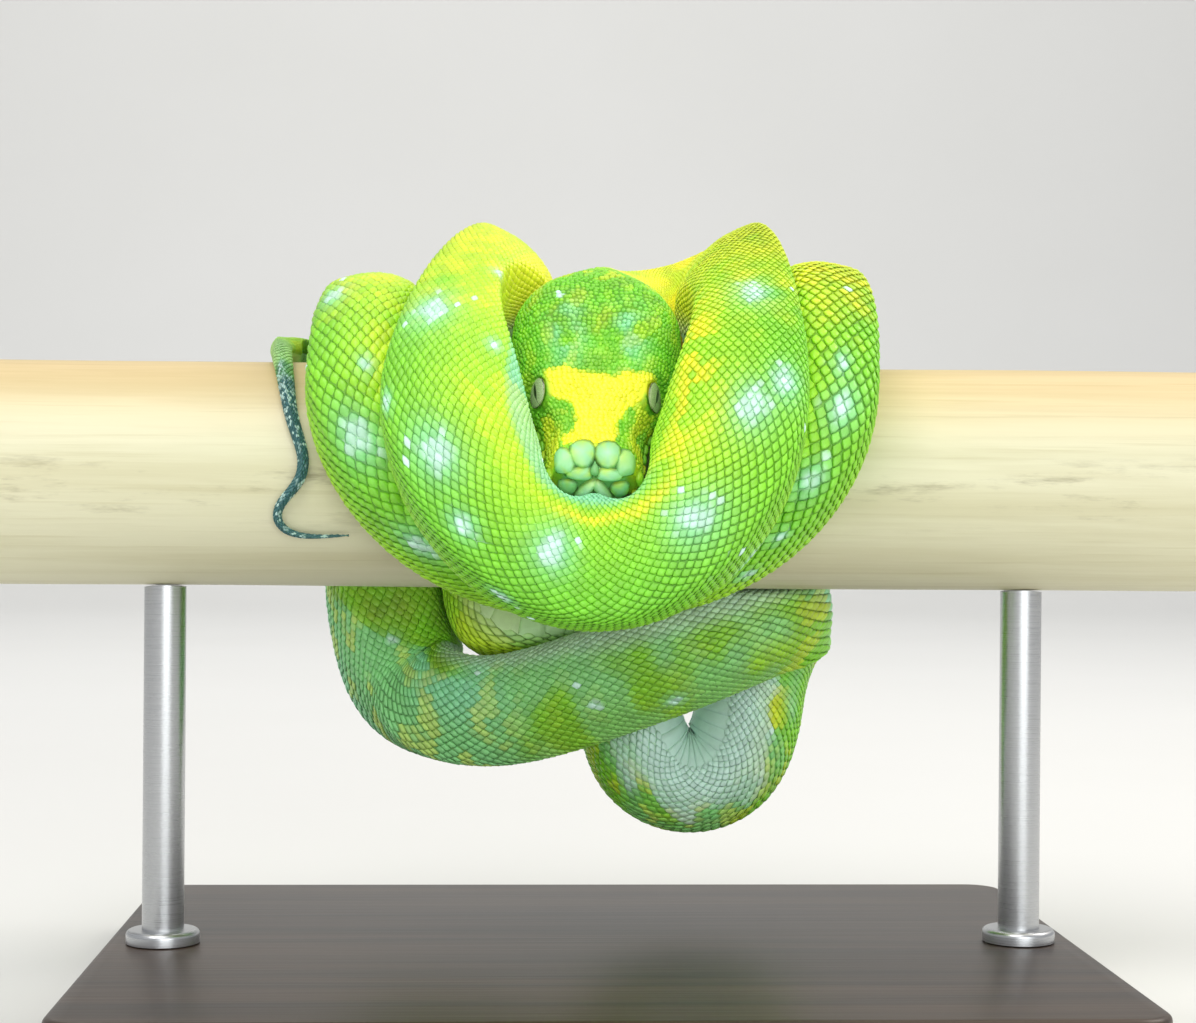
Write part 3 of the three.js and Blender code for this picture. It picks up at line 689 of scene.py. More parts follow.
def reach_toward(direction, right, up, wide, tall):
    """The radius of a ring toward a direction."""
    a, b = (direction * right).sum(-1), (direction * up).sum(-1)
    flat = np.maximum(np.hypot(a, b), 1e-9)
    return 1 / np.hypot(a / flat / wide, b / flat / tall)


def body_ring(far, angles):
    """One ring of the body's surface, flattened where coils press on it and over the perch."""
    at, along, bend = (on_line(rows, far) for rows in (line_at, line_along, line_bend))
    up = on_line(line_up, far)
    along = unit(along)
    up = unit(up - along * up.dot(along))
    right = np.cross(up, along)
    x, y = section(far, angles)
    off = x[:, None] * right + y[:, None] * up
    limits = [np.ones(len(angles))]
    y0, z0 = at[1], at[2] - AXIS
    a = off[:, 1] ** 2 + off[:, 2] ** 2
    b = y0 * off[:, 1] + z0 * off[:, 2]
    c = y0 ** 2 + z0 ** 2 - (POLE + CLEAR_PERCH) ** 2
    root = b * b - a * c
    meets = (b < 0) & (root > 0) & (c > 0)
    limits.append(np.where(meets, (-b - np.sqrt(np.where(meets, root, 0))) / np.maximum(a, 1e-9), np.inf))
    if far < HEAD_UNPRESSED:
        return at + off * np.minimum(limits[0], limits[1])[:, None]
    wide, tall = (float(v[0]) for v in ring_size(np.array([far])))
    to = other_at - at
    distance = np.linalg.norm(to, axis=1)
    near = (np.abs(other_far - far) >= OWN_REACH) & (distance <= 2.4 * (tall + other_tall))
    if near.any():
        to, distance = to[near] / distance[near][:, None], distance[near]
        own = reach_toward(to, right, up, wide, tall)
        other = reach_toward(to, other_right[near], other_up[near], other_wide[near], other_tall[near])
        midway = (distance ** 2 + own ** 2 - other ** 2) / (2 * distance) - CLEAR_COILS / 2
        lean_right = (to * other_right[near]).sum(1) * other_wide[near]
        lean_up = (to * other_up[near]).sum(1) * other_tall[near]
        by_head = distance - 1.1 * np.hypot(lean_right, lean_up) - CLEAR_COILS
        reach = np.maximum(np.where(other_far[near] < HEAD_LENGTH, by_head, midway), 1)
        reach = np.where(own + other + CLEAR_COILS < distance * 0.9, np.inf, reach)
        facing = off @ to.T
        limits.append(np.where(facing > 0, reach / np.maximum(facing, 1e-9), np.inf).min(1))
    squeeze = off @ bend
    limits.append(np.where(squeeze > 0, TIGHTEST_BEND / np.maximum(squeeze, 1e-9), np.inf))
    scale = (np.stack(limits) ** -SOFTNESS).sum(0) ** (-1 / SOFTNESS)
    return at + off * scale[:, None]


# ---- The python: the fine form of its skin ----
# The surface is read on a close grid, and the head gets its finer forms: sockets with rims
# for the eyes, the line of the mouth, and the nostrils. No snake has eyelids.
AROUND = 192
SCALES_FROM = 62.0
EYE_AT = (10.7, 4.2, 22.5)
GAZE = (0.91, 0.39, -0.12)
SOCKET_RADIUS = 3.4
SOCKET_FLOOR = 2.0
SOCKET_RIM = 2.45
MOUTH = np.array([[-6, -3.0], [3, -3.1], [10, -3.2], [20, -4.2], [34, -6.4], [39, -7.4]])
MOUTH_DEPTH = 0.55
MOUTH_WIDTH = 0.45
MOUTH_CORNER = (38, 43)
FRONT_HALF = 2.0
FRONT_DEPTH = 0.5
NOSTRIL = (4.6, 5.6, 3.4)
NOSTRIL_DEPTH = 0.9
NOSTRIL_SPREAD = 0.42
FACE_MIDDLE = 20

angles = np.arange(AROUND) / AROUND * 2 * math.pi
snout_cap = SNOUT_ROUND * (1 - np.cos(np.linspace(0.03, math.pi / 2, 20)))
tail_cap = LENGTH - TAIL_ROUND * (1 - np.cos(np.linspace(math.pi / 2, 0.02, 9)))
stations = np.concatenate([snout_cap, np.arange(3.6, NECK_END, 0.55),
                           np.arange(NECK_END, LENGTH - 3.6, FINE), tail_cap])
surface = np.stack([body_ring(far, angles) for far in stations])

face_far = line_far[round(FACE_MIDDLE / FINE)]
face_along = on_line(line_along, face_far)
face_up = on_line(line_up, face_far)
face_right = on_line(line_right, face_far)
face_zero = on_line(line_at, face_far) - face_along * face_far


def in_face(side, up, far):
    """A place in the head's own frame: to its right, over it and back from the snout."""
    return face_zero + np.multiply.outer(side, face_right) + np.multiply.outer(up, face_up) \
        + np.multiply.outer(far, face_along)


def face_place(points):
    """The head's own coordinates of points."""
    rel = points - face_zero
    return rel @ face_right, rel @ face_up, rel @ face_along


def eye_place(hand):
    """The middle of an eye and the way it looks, for hand 1 on one side and -1 on the other."""
    gaze = unit(hand * GAZE[0] * face_right + GAZE[1] * face_up + GAZE[2] * face_along)
    return in_face(hand * EYE_AT[0], EYE_AT[1], EYE_AT[2]), gaze


def mouth_height(far):
    """The height of the line of the mouth, in the head's frame."""
    return np.interp(far, MOUTH[:, 0], MOUTH[:, 1])


def outward(points):
    """Outward normals of a grid of rings."""
    along_way = np.gradient(points, axis=0)
    around_way = np.roll(points, -1, axis=1) - np.roll(points, 1, axis=1)
    normals = np.cross(along_way, around_way)
    rough = points - points.mean(axis=1, keepdims=True)
    normals = unit(normals)
    normals[0] = -on_line(line_along, 0.0)
    return np.where((normals * rough).sum(-1, keepdims=True) < -0.3, -normals, normals)


def shape_head(points):
    """Presses the sockets, the mouth and the nostrils into the rings of the head."""
    normals = outward(points)
    side, up, far = face_place(points)
    fade = 1 - ramp(*MOUTH_CORNER, far)
    groove = hill(up, mouth_height(far), MOUTH_WIDTH) * fade * (np.abs(side) > FRONT_HALF)
    front = hill(up, -2.1, 0.42) * (far < 2.5) * (np.abs(side) <= FRONT_HALF)
    push = -MOUTH_DEPTH * groove - FRONT_DEPTH * front
    for hand in (1, -1):
        hole = (side - hand * NOSTRIL[0]) ** 2 + (up - NOSTRIL[1]) ** 2 + (far - NOSTRIL[2]) ** 2
        push = push - NOSTRIL_DEPTH * np.exp(-hole / NOSTRIL_SPREAD)
    points = points + normals * push[..., None]
    for hand in (1, -1):
        centre, gaze = eye_place(hand)
        rel = points - centre
        level = rel @ gaze
        ring = np.linalg.norm(rel - level[..., None] * gaze, axis=-1)
        own_side = (level > 0) & (ring < 7.5)
        brow = (rel @ face_up - level * face_up.dot(gaze)) / np.maximum(ring, 0.1)
        rim = SOCKET_RIM + 0.4 * hill(ring, 4.0, 0.5) + 0.5 * np.clip(brow, 0, 1) * hill(ring, 3.8, 0.9)
        share = (1 - ramp(4.2, 6.4, ring)) * own_side
        inside = np.where(ring < SOCKET_RADIUS, SOCKET_FLOOR, np.minimum(level + 0.3, rim))
        points = points + ((inside - level) * share)[..., None] * gaze
    return points


head_rings = int((stations < SCALES_FROM).sum())
surface[:head_rings] = shape_head(surface[:head_rings + 1])[:head_rings]
normals = outward(surface)
for _ in range(2):
    normals = unit(normals + np.roll(normals, 1, axis=1) + np.roll(normals, -1, axis=1))
skin_grid = surface - normals * COAT


def read_grid(rows, far, angle):
    """A grid of rings read at any distance from the snout and any angle from the spine."""
    i = np.interp(far, stations, np.arange(len(stations)))
    i0 = np.minimum(i.astype(int), len(stations) - 2)
    u = (i - i0)[..., None]
    j = angle / (2 * math.pi) * AROUND
    j0 = np.floor(j).astype(int)
    v = (j - j0)[..., None]
    j0, j1 = j0 % AROUND, (j0 + 1) % AROUND
    return ((rows[i0, j0] * (1 - v) + rows[i0, j1] * v) * (1 - u)
            + (rows[i0 + 1, j0] * (1 - v) + rows[i0 + 1, j1] * v) * u)


def stretch_of(far, angle):
    """How far apart places on the surface are for each millimetre along the backbone."""
    ahead, behind = np.clip(far + 1, 0, LENGTH - 0.2), np.clip(far - 1, stations[0], LENGTH - 1.2)
    apart = np.linalg.norm(read_grid(surface, ahead, angle) - read_grid(surface, behind, angle), axis=-1)
    return apart / (ahead - behind)


# ---- The python: its markings ----
# Green, with lime and yellow flanks, a pale belly, blue-green and olive low down, clusters of
# white scales and a dark slate tail. The yellow of the crests is partly painted warm light; under
# the perch some olive is painted shade and a lime patch painted light, and the rims of scales are
# painted darker as shade in the gaps. Skin and scales both read these amounts, and one node
# group turns them into colours.
CLUSTERS = (
    # distance from the snout, angle from the spine, reach of the cluster
    (171, -0.72, 6.0), (194, -0.35, 4.6), (199, -0.74, 5.6), (220, -0.71, 6.2), (218, 0.85, 3.6),
    (254, -0.82, 6.0), (258, 0.25, 2.4), (269, -0.32, 3.0), (280, -0.54, 5.6), (289, -0.05, 2.0),
    (301, -1.45, 2.2), (308, -0.49, 6.4), (327, -1.08, 2.2), (656, -0.67, 3.2), (664, -0.52, 5.4),
    (678, -0.40, 4.6), (689, 0.0, 2.4), (698, 0.5, 2.6), (768, 0.10, 5.4), (789, -0.45, 6.4),
    (802, -1.0, 2.8), (824, -0.31, 5.2), (947, 0.39, 2.6), (1013, 0.92, 2.4), (1030, 0.63, 3.2),
    (430, 0.9, 5.0), (410, -0.5, 4.0), (520, 0.6, 5.6), (560, -0.4, 4.2), (590, 0.9, 3.0),
    (880, 0.4, 4.0), (1075, 0.8, 4.0), (1165, 0.5, 3.4))
BODY_RADIUS = 16
MASK_ROWS = (
    # back from the snout, half width of the yellow mask to one side and to the other
    (8, 7.0, 4.6), (10, 7.4, 4.8), (12, 5.6, 4.8), (14.3, 4.4, 5.0), (17.6, 4.9, 7.0),
    (19.2, 7.0, 8.6), (20.4, 9.7, 10.6), (22.9, 10.8, 12.2), (26.5, 11.6, 13.9))


def clouds(points, size, seed):
    """Soft random clouds in space, about from -1 to 1."""
    rng = np.random.default_rng(seed)
    total = 0
    for _ in range(7):
        way_of = unit(rng.normal(size=3))
        total = total + np.sin(points @ way_of * (2 * math.pi / size) * rng.uniform(0.6, 1.5)
                               + rng.uniform(0, 6.28))
    return total / 2.6


def span(far, rise, full, fall, end):
    """1 from full to fall, easing from rise and out to end."""
    return ramp(rise, full, far) * (1 - ramp(fall, end, far))


def signed_turn(angle):
    """An angle as it lies from the spine, to one side or the other."""
    return np.arctan2(np.sin(angle), np.cos(angle))


def lowest_bend(far):
    """1 on the lowest bend of the hanging loop."""
    return span(far, 1062, 1092, 1160, 1185)


def gap_shade_at(far, angle):
    """How dark the thin lines between scales are painted, as shade in the gaps: deepest where the skin
    stretches, faint on the upper and inner flanks and in the lowest bend.
    """
    arms = 1 - 0.42 * np.maximum(hill(far, 312, 42), hill(far, 182, 28))
    return (0.35 + 0.65 * ramp(1.0, 1.35, stretch_of(far, angle))) * arms * (1 - 0.75 * lowest_bend(far))


def flecks_at(far, angle, tiny):
    """How white places are in the soft clusters of white scales."""
    white = np.zeros(np.broadcast(far, angle).shape)
    for place, at, reach in CLUSTERS:
        near = np.abs(far - place) < reach * 1.3
        gap = np.hypot(far - place, BODY_RADIUS * signed_turn(angle - at)) * (1.6 + 0.6 * tiny) / reach
        white = np.maximum(white, near * (1 - ramp(0.40, 1.0, gap)) * 0.88)
    return white


class Places:
    """Places on the python, the soft clouds there, and the amount of each marking."""
    def __init__(self, points, far, angle, chance):
        self.points, self.far, self.angle, self.chance = points, far, angle, chance
        self.signed = signed_turn(angle)
        self.turn = np.abs(self.signed)
        self.big, self.small, self.tiny = (clouds(points, *kind) for kind in ((34, 3), (9, 5), (4.5, 13)))
        self.head = 1 - ramp(52, 66, far)
        self.low = span(far, 838, 885, VENT - 60, VENT)
        self.tail = ramp(LENGTH - 64, LENGTH - 53, far + 2 * self.small)

    def more(self, **amounts):
        """Raises amounts to at least these values."""
        for name, amount in amounts.items():
            setattr(self, name, np.maximum(getattr(self, name), amount))

    def mark_coils(self):
        """Green backs with lime flanks, yellow crests and a pale belly; the crests' yellow is partly their
        own colour and partly painted warm light from above.
        """
        far, signed, turn, small = self.far, self.signed, self.turn, self.small
        upper = 1 - self.low
        # The highest places are yellower: partly the python's own colour, partly painted warm light on its
        # tops.
        crest = ramp(AXIS + 30, AXIS + 60, self.points[..., 2] + 5 * small) * (1 - self.head)
        neck = span(far, 58, 70, 120, 150)
        front = hill(far, 246, 30)
        fold = np.interp(far, (206, 224, 242, 266, 276, 290), (-1.30, -1.26, -1.36, -1.28, -1.42, -1.5))
        inner = ramp(0.10, 0.30, fold - signed) * span(far, 212, 236, 304, 326) * 0.85
        self.lime = (0.30 + 0.70 * ramp(0.2, 1.3, turn)) * upper * (0.86 + 0.14 * self.big)
        self.lime = self.lime * (1 - 0.55 * ramp(-0.1, 0.45, -turn + 0.2 * small))
        self.lime = self.lime * (1 - 0.45 * front) * (1 - inner)
        self.yellow = np.maximum(crest * 0.62, neck * (0.75 + 0.25 * small))
        flank = ramp(0.9, 1.25, turn) * upper * (1 - neck)
        self.more(yellow=flank * ramp(0.25, 0.75, self.big + 0.5 * small) * 0.32)
        self.yellow = self.yellow * (1 - front)
        self.more(yellow=hill(far, 636, 42) * crest * 0.95)
        self.more(yellow=hill(far, 190, 30) * hill(signed, -1.5, 0.26)
                  * ramp(0.0, 0.25, small + 0.35 * self.tiny + 0.05))
        self.more(yellow=hill(signed, fold + 0.03 * small, 0.08) * span(far, 206, 222, 276, 290)
                  * (1 - 0.6 * ramp(252, 262, far)) * 0.7)
        self.more(yellow=hill(far, 346, 26) * ramp(0.9, 1.2, -signed) * 0.9)
        self.more(yellow=hill(far, 154, 18) * ramp(1.4, 1.7, -signed) * 0.75)
        self.teal = inner
        self.pale = ramp(2.1, 2.8, turn) * 0.6 * upper

    def mark_low_loop(self):
        """Blue-green and olive on the loop under the perch, its lowest bend pale inside; olive over one
        flank of the first bend and across the band is painted shade, and a lime patch on the band is
        painted light.
        """
        far, turn, small, low = self.far, self.turn, self.small, self.low
        # One flank of the first bend, beyond this line, is olive: painted shade on the flank turned from
        # the light.
        fold = self.signed - np.interp(far, (925, 931, 938, 951, 968, 990),
                                       (-0.9, -0.6, -0.13, 0.61, 1.49, 1.6))
        bend = span(far, 896, 926, 976, 990) * ramp(-0.06, 0.14, fold + 0.05 * small)
        band = span(far, 984, 1000, 1050, 1066)
        bluish = low * ramp(-0.6, 0.8, clouds(self.points, 26, 11) + 0.35 * small) * (1 - bend)
        bluish = np.maximum(bluish * (1 - 0.5 * band), span(far, 900, 925, 985, 1000) * (1 - bend))
        self.more(teal=bluish * (0.52 + 0.33 * ramp(0.5, 1.4, turn)))
        olive = low * ramp(-0.8, 0.8, clouds(self.points, 36, 17) + 0.25 * small)
        olive = olive * (1 - 0.6 * bluish) * 0.75
        # The band is olive all across: painted shadow where it lies under the perch.
        olive = olive * (1 - band) + band * (0.48 + 0.12 * small)
        self.olive = np.maximum(olive * (1 - bend), low * bend * (0.55 + 0.3 * small))
        blotch = low * ramp(0.30, 0.75, clouds(self.points, 12, 23) + 0.4 * self.tiny)
        self.more(yellow=blotch * (1 - 0.85 * band) * (1 - 0.85 * bend) * 0.36)
        self.more(lime=low * 0.30)
        # A brighter lime patch on the band: a painted pool of light.
        self.more(lime=hill(far, 1053, 10) * hill(self.signed, 0.95, 0.45) * 0.9)
        # The inside of the lowest bend is pale: its own pale belly, painted paler still as painted light
        # against the shade that falls there.
        lobe = lowest_bend(far)
        self.inside = lobe * ramp(1.35, 1.75, turn + 0.22 * small)
        self.teal = self.teal * (1 - 0.5 * lobe)
        self.more(teal=self.inside * 0.55)
        self.more(pale=self.inside * (0.55 + 0.4 * ramp(1.9, 2.4, turn)))
        self.more(pale=low * ramp(1.7, 2.3, turn) * 0.8)
        speck = ramp(0.1, 0.6, clouds(self.points, 12, 29) + 0.4 * self.tiny)
        self.more(yellow=lobe * hill(turn, 1.65, 0.3) * speck * 0.62)
        self.olive = self.olive * (1 - lobe)

    def mark_clusters(self):
        """Clusters of white scales, each in a wash of blue-green, and a few lone ones."""
        self.white = flecks_at(self.far, self.angle, self.tiny) * (0.70 + 0.30 * self.chance)
        for place, at, reach in CLUSTERS:
            gap = np.hypot(self.far - place, BODY_RADIUS * signed_turn(self.angle - at))
            self.more(teal=hill(gap, 0, reach * 0.85) * 0.75)
        self.more(white=((self.chance > 0.9975) & (self.turn < 2.0) & (self.far > 66)) * 0.9)

    def mark_tail(self):
        """Pale flecks and bars on the slate tail, and a muted green before it."""
        far, chance = self.far, self.chance
        often = np.interp(far, (LENGTH - 58, LENGTH - 44, LENGTH - 36, LENGTH), (0.40, 0.62, 0.84, 0.86))
        bars = (np.sin(far * 1.35 + self.small) > 0.75) * (chance > 0.3)
        self.fleck = np.maximum(self.tail * (chance > often), ramp(LENGTH - 34, LENGTH - 26, far) * bars)
        hidden = ramp(VENT - 40, VENT, far) * (1 - self.tail)
        self.more(olive=hidden * 0.6)
        self.more(pale=hidden * 0.35 * ramp(LENGTH - 90, LENGTH - 70, far))

    def mark_head(self):
        """The yellow mask, dappled cheeks and crown, a blue-green nose and one white scale."""
        head, small, points = self.head, self.small, self.points
        side, up, back_far = face_place(points)
        aside = np.abs(side)
        edge = 0.9 * clouds(points, 5, 31)
        rows = np.array(MASK_ROWS)
        wide = np.where(side > 0, np.interp(back_far, rows[:, 0], rows[:, 1]),
                        np.interp(back_far, rows[:, 0], rows[:, 2])) + edge * 0.45
        top = 25.4 + 1.3 * ramp(2, 9, aside) + edge * 0.5
        mask = (head * ramp(7.6, 8.8, back_far + edge * 0.4) * (1 - ramp(top - 0.5, top + 0.7, back_far))
                * (1 - ramp(wide - 0.6, wide + 0.6, aside)) * (up > 0))
        dapple = head * (1 - mask) * ramp(0.2, 1.1, clouds(points, 7, 41) + 0.35 * small)
        dapple = dapple * (0.35 + 0.65 * (1 - ramp(16, 24, self.far)) + 0.5 * ramp(46, 54, self.far))
        cheek = head * hill(aside, 9.2, 1.8) * (1 - ramp(11, 16, back_far)) * ramp(-0.4, 0.3, small)
        temple = head * hill(aside, 7, 4.0) * hill(back_far, 36, 8) * ramp(-0.6, 0.6, small)
        snout = (head * (1 - ramp(5.0, 7.5, back_far + edge * 0.4))
                 * (1 - ramp(6.0, 7.5, aside + edge * 0.4)) * 0.6)
        self.yellow = self.yellow * (1 - head) + head * np.maximum(mask, 0)
        self.more(yellow=np.clip(dapple, 0, 1) * 0.62)
        self.more(yellow=cheek * 0.75)
        self.yellow = self.yellow * (1 - snout * 0.85)
        self.teal = np.maximum(self.teal * (1 - head), head * np.maximum(temple * 0.75, snout * 0.8))
        self.lime = (self.lime * (1 - head)
                     + head * (0.14 + 0.30 * ramp(-0.3, 0.9, clouds(points, 6, 53))))
        self.more(olive=head * (1 - mask) * ramp(-0.2, 1.0, clouds(points, 12, 47)) * 0.35)
        self.pale = np.maximum(self.pale * (1 - head), head * ramp(2.0, 2.6, self.turn) * 0.6)
        self.spot = head * (np.hypot(side - 9.0, back_far - 46.5) < 1.15)


def markings(points, far, angle, chance):
    """The amounts of each marking at places: two sets of three, and how white a scale is."""
    at = Places(points, far, angle, chance)
    at.mark_coils()
    at.mark_low_loop()
    at.mark_clusters()
    at.mark_tail()
    at.mark_head()
    bare = 1 - at.tail
    first = np.stack([at.lime, at.yellow, at.teal], -1) * bare[..., None]
    second = np.stack([at.olive * bare, at.pale * (1 - at.tail * 0.7), at.tail], -1)
    white = np.maximum(np.maximum(at.white * bare, at.fleck * (0.45 + 0.3 * at.tiny)), at.spot)
    # The pale inside of the lowest bend: its own belly colour, painted paler as painted light against the
    # shade there.
    white = np.maximum(white, at.inside * (0.48 + 0.34 * ramp(1.8, 2.3, at.turn)))
    return np.clip(first, 0, 1), np.clip(second, 0, 1), np.clip(white, 0, 1)


def build_marking_group():
    """Turns the amounts of the markings into colours, with the fine changes of live skin and painted shade
    at the rims of scales.
    """
    made, given, result = new_group("python_markings", {
        "Green": paint(112, 204, 48), "Lime": paint(186, 244, 52), "Yellow": paint(250, 244, 50),
        "Blue Green": paint(150, 228, 186), "Olive": paint(142, 190, 60), "Pale": paint(204, 234, 212),
        "Slate": paint(60, 108, 110), "White": paint(214, 246, 236),
        "First Amounts": None, "Second Amounts": None, "Third Amounts": None, "Gap Shade": 0.0})
    first, second, third = (
        add_node(made, "ShaderNodeSeparateXYZ", {"Vector": given[name + " Amounts"]}).outputs
        for name in ("First", "Second", "Third"))
    tone = given["Green"]
    for amount, name in ((first["X"], "Lime"), (second["X"], "Olive"), (first["Z"], "Blue Green"),
                         (first["Y"], "Yellow"), (second["Y"], "Pale"), (second["Z"], "Slate"),
                         (third["X"], "White")):
        tone = add_mix(made, amount, tone, given[name])
    soft = add_noise(made, add_place(made), 260.0, 3.0, 0.6)
    fine = add_noise(made, add_place(made), 2200.0, 2.0, 0.6)
    change = add_sum(made, "MULTIPLY_ADD", soft, 0.30, 0.85)
    own = add_sum(made, "MULTIPLY_ADD", third["Z"], 0.22, 0.89)
    # The rims of scales and the skin in their gaps are darkened: painted shade.
    rim = add_sum(made, "MULTIPLY", add_range(made, third["Y"], 0.30, 1.0), given["Gap Shade"])
    level = add_sum(made, "MULTIPLY", add_sum(made, "MULTIPLY", change, own),
                    add_sum(made, "SUBTRACT", 1.0, rim))
    grey = add_node(made, "ShaderNodeCombineXYZ", {"X": level, "Y": level, "Z": level})
    put_in(made, add_mix(made, 1.0, tone, grey.outputs[0], "MULTIPLY"), result["Color"])
    put_in(made, fine, result["Height"])
    return made


python_markings = build_marking_group()
AMOUNTS = ("marks_a", "marks_b", "marks_c")


def marked_material(name, roughness, gap_shade, shade):
    """A material of skin or scale that reads a piece's own amounts of the markings, with painted shade in
    the gaps as deep as given.
    """
    made, tree, shader = new_material(name, roughness)
    group = add_node(tree, "ShaderNodeGroup", node_tree=python_markings)
    group.inputs["Gap Shade"].default_value = gap_shade
    for attribute, socket in zip(AMOUNTS, ("First Amounts", "Second Amounts", "Third Amounts")):
        read = add_node(tree, "ShaderNodeAttribute", attribute_name=attribute, attribute_type="GEOMETRY")
        put_in(tree, read.outputs["Vector"], group.inputs[socket])
    put_in(tree, add_mix(tree, 1.0, group.outputs["Color"], shade, "MULTIPLY"), shader.inputs["Base Color"])
    add_bump(tree, shader, group.outputs["Height"], 0.12, 0.0002)
    return made


def mesh_piece(name, points, loops, starts, amounts, bake_map, material):
    """A mesh object from points in millimetres, its faces' corners, and its own attributes."""
    mesh = bpy.data.meshes.new(name)
    mesh.vertices.add(len(points))
    mesh.vertices.foreach_set("co", (points / 1000).astype(np.float32).ravel())
    mesh.loops.add(len(loops))
    mesh.loops.foreach_set("vertex_index", loops.astype(np.int32))
    mesh.polygons.add(len(starts))
    mesh.polygons.foreach_set("loop_start", starts.astype(np.int32))
    mesh.update(calc_edges=True)
    mesh.polygons.foreach_set("use_smooth", np.ones(len(starts), bool))
    for attribute, rows in zip(AMOUNTS, amounts):
        layer = mesh.attributes.new(attribute, "FLOAT_VECTOR", "POINT")
        layer.data.foreach_set("vector", rows.astype(np.float32).ravel())
    layer = mesh.uv_layers.new(name="OFBake")
    layer.uv.foreach_set("vector", bake_map.astype(np.float32).ravel())
    mesh.materials.append(material)
    made = bpy.data.objects.new(name, mesh)
    bpy.context.scene.collection.objects.link(made)
    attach(made, "root")
    return made


# ---- The python: skin ----
# One unbroken skin from the snout to the tip of the tail, under the scales and darker than
# they are, so that it shows as the thin lines between them, with painted shade in the gaps.
skin_material = marked_material("python_skin", 0.6, 0.40, (0.88, 0.95, 0.80, 1.0))
FINE_END = 66
STRIPS = 8
dense = np.flatnonzero(stations < FINE_END)
sparse = np.flatnonzero(stations >= FINE_END)[::2]
sparse = np.append(sparse, len(stations) - 1) if sparse[-1] != len(stations) - 1 else sparse


def grid_faces(rows, around, first):
    """Corners of the quads between rows of points, the first row starting at first."""
    i, k = np.meshgrid(np.arange(rows - 1), np.arange(around), indexing="ij")
    a = first + i * around + k
    b = first + i * around + (k + 1) % around
    return np.stack([a, a + around, b + around, b], -1).reshape(-1, 4)


half_around = AROUND // 2
body_first = len(dense) * AROUND
fine_row = body_first - AROUND
tip_first = body_first + (len(sparse) - 1) * half_around
snout_tip = body_first + len(sparse) * half_around
k = np.arange(half_around)
left, centre, right = fine_row + 2 * k, fine_row + 2 * k + 1, fine_row + (2 * k + 2) % AROUND
left_low, right_low = body_first + k, body_first + (k + 1) % half_around
around_k = np.arange(AROUND)
tris = np.vstack([np.stack(corners, 1) for corners in (
    (left, left_low, centre), (centre, left_low, right_low), (centre, right_low, right),
    (np.full(AROUND, snout_tip), around_k, (around_k + 1) % AROUND),
    (np.full(half_around, snout_tip + 1), tip_first + (k + 1) % half_around, tip_first + k))])
quads = np.vstack([grid_faces(len(dense), AROUND, 0), grid_faces(len(sparse), half_around, body_first)])
skin_points = np.vstack([skin_grid[dense].reshape(-1, 3), skin_grid[sparse][:, ::2].reshape(-1, 3),
                         skin_grid[0].mean(0), skin_grid[-1].mean(0)])
skin_far = np.concatenate([np.repeat(stations[dense], AROUND), np.repeat(stations[sparse], half_around),
                           [stations[0], stations[-1]]])
skin_angle = np.concatenate([np.tile(angles, len(dense)), np.tile(angles[::2], len(sparse)), [0, 0]])
skin_loops = np.concatenate([quads.ravel(), tris.ravel()])
skin_starts = np.concatenate([np.arange(len(quads)) * 4, len(quads) * 4 + np.arange(len(tris)) * 3])
face_total = len(skin_starts)
face_of_loop = np.repeat(np.arange(face_total), np.append(np.diff(skin_starts), 3))
lowest = np.full(face_total, 1e9)
np.minimum.at(lowest, face_of_loop, skin_far[skin_loops])
strip = np.minimum((lowest / LENGTH * STRIPS).astype(int), STRIPS - 1)[face_of_loop]
widest = np.zeros(face_total)
np.maximum.at(widest, face_of_loop, skin_angle[skin_loops])
turn_of_loop = skin_angle[skin_loops]
turn_of_loop = np.where((widest[face_of_loop] > 5) & (turn_of_loop < 1), turn_of_loop + 2 * math.pi,
                        turn_of_loop)
skin_map = np.stack([
    0.01 + 0.98 * (skin_far[skin_loops] / LENGTH * STRIPS - strip) / 1.03,
    (strip + 0.05 + 0.9 * turn_of_loop / (2 * math.pi)) / STRIPS], 1)
skin_chance = np.full(len(skin_points), 0.5)
mark_a, mark_b, mark_white = markings(skin_points, skin_far, skin_angle, skin_chance)
# Painted shade in the gaps between the scales, less where the scales are white.
skin_gap_shade = gap_shade_at(skin_far, skin_angle)
mark_c = np.stack([mark_white, skin_gap_shade * (1 - 0.7 * mark_white), skin_chance], -1)
skin = mesh_piece("skin", skin_points, skin_loops, skin_starts, (mark_a, mark_b, mark_c), skin_map,
                  skin_material)
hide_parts("head", "lower_jaw", "neck", "inner_loop_right", "inner_loop_left", "back_loop_left",
            "back_loop_right", "outer_loop_right", "outer_loop_left", "back_drop", "low_loop", "low_bend",
            "back_rise", "tail_base", "tail_tip")


# ---- The python: body scales ----
# Smooth, slightly domed lozenges in slanting rows, each front tucked under the one before,
# and wide plates across the belly. One joined mesh for each length of the body.
scale_material = marked_material("python_scale", 0.40, 0.20, (1.0, 1.0, 1.0, 1.0))
SCALE_OUTLINE = np.array([[-1.06, 0], [-0.56, -0.56], [0.02, -0.97], [0.62, -0.60],
                          [1.08, 0], [0.62, 0.60], [0.02, 0.97], [-0.56, 0.56]])
SCALE_RIM = np.array([-0.42, -0.34, -0.10, 0.12, 0.20, 0.12, -0.10, -0.34])
SCALE_TOP = np.array([-0.08, 0.02, 0.22, 0.40, 0.46, 0.40, 0.22, 0.02])
SCALE_MIDDLE = 0.36
SCALE_PITCH = 3.572
SCALES_TO = LENGTH - 1.5
COLUMNS = (
    # how many scales go round the body, up to a distance from the snout
    (52, 359), (40, 600), (30, 845), (40, VENT + 20), (28, LENGTH - 130), (20, LENGTH - 70),
    (12, LENGTH - 34), (8, LENGTH))
BELLY = 0.56
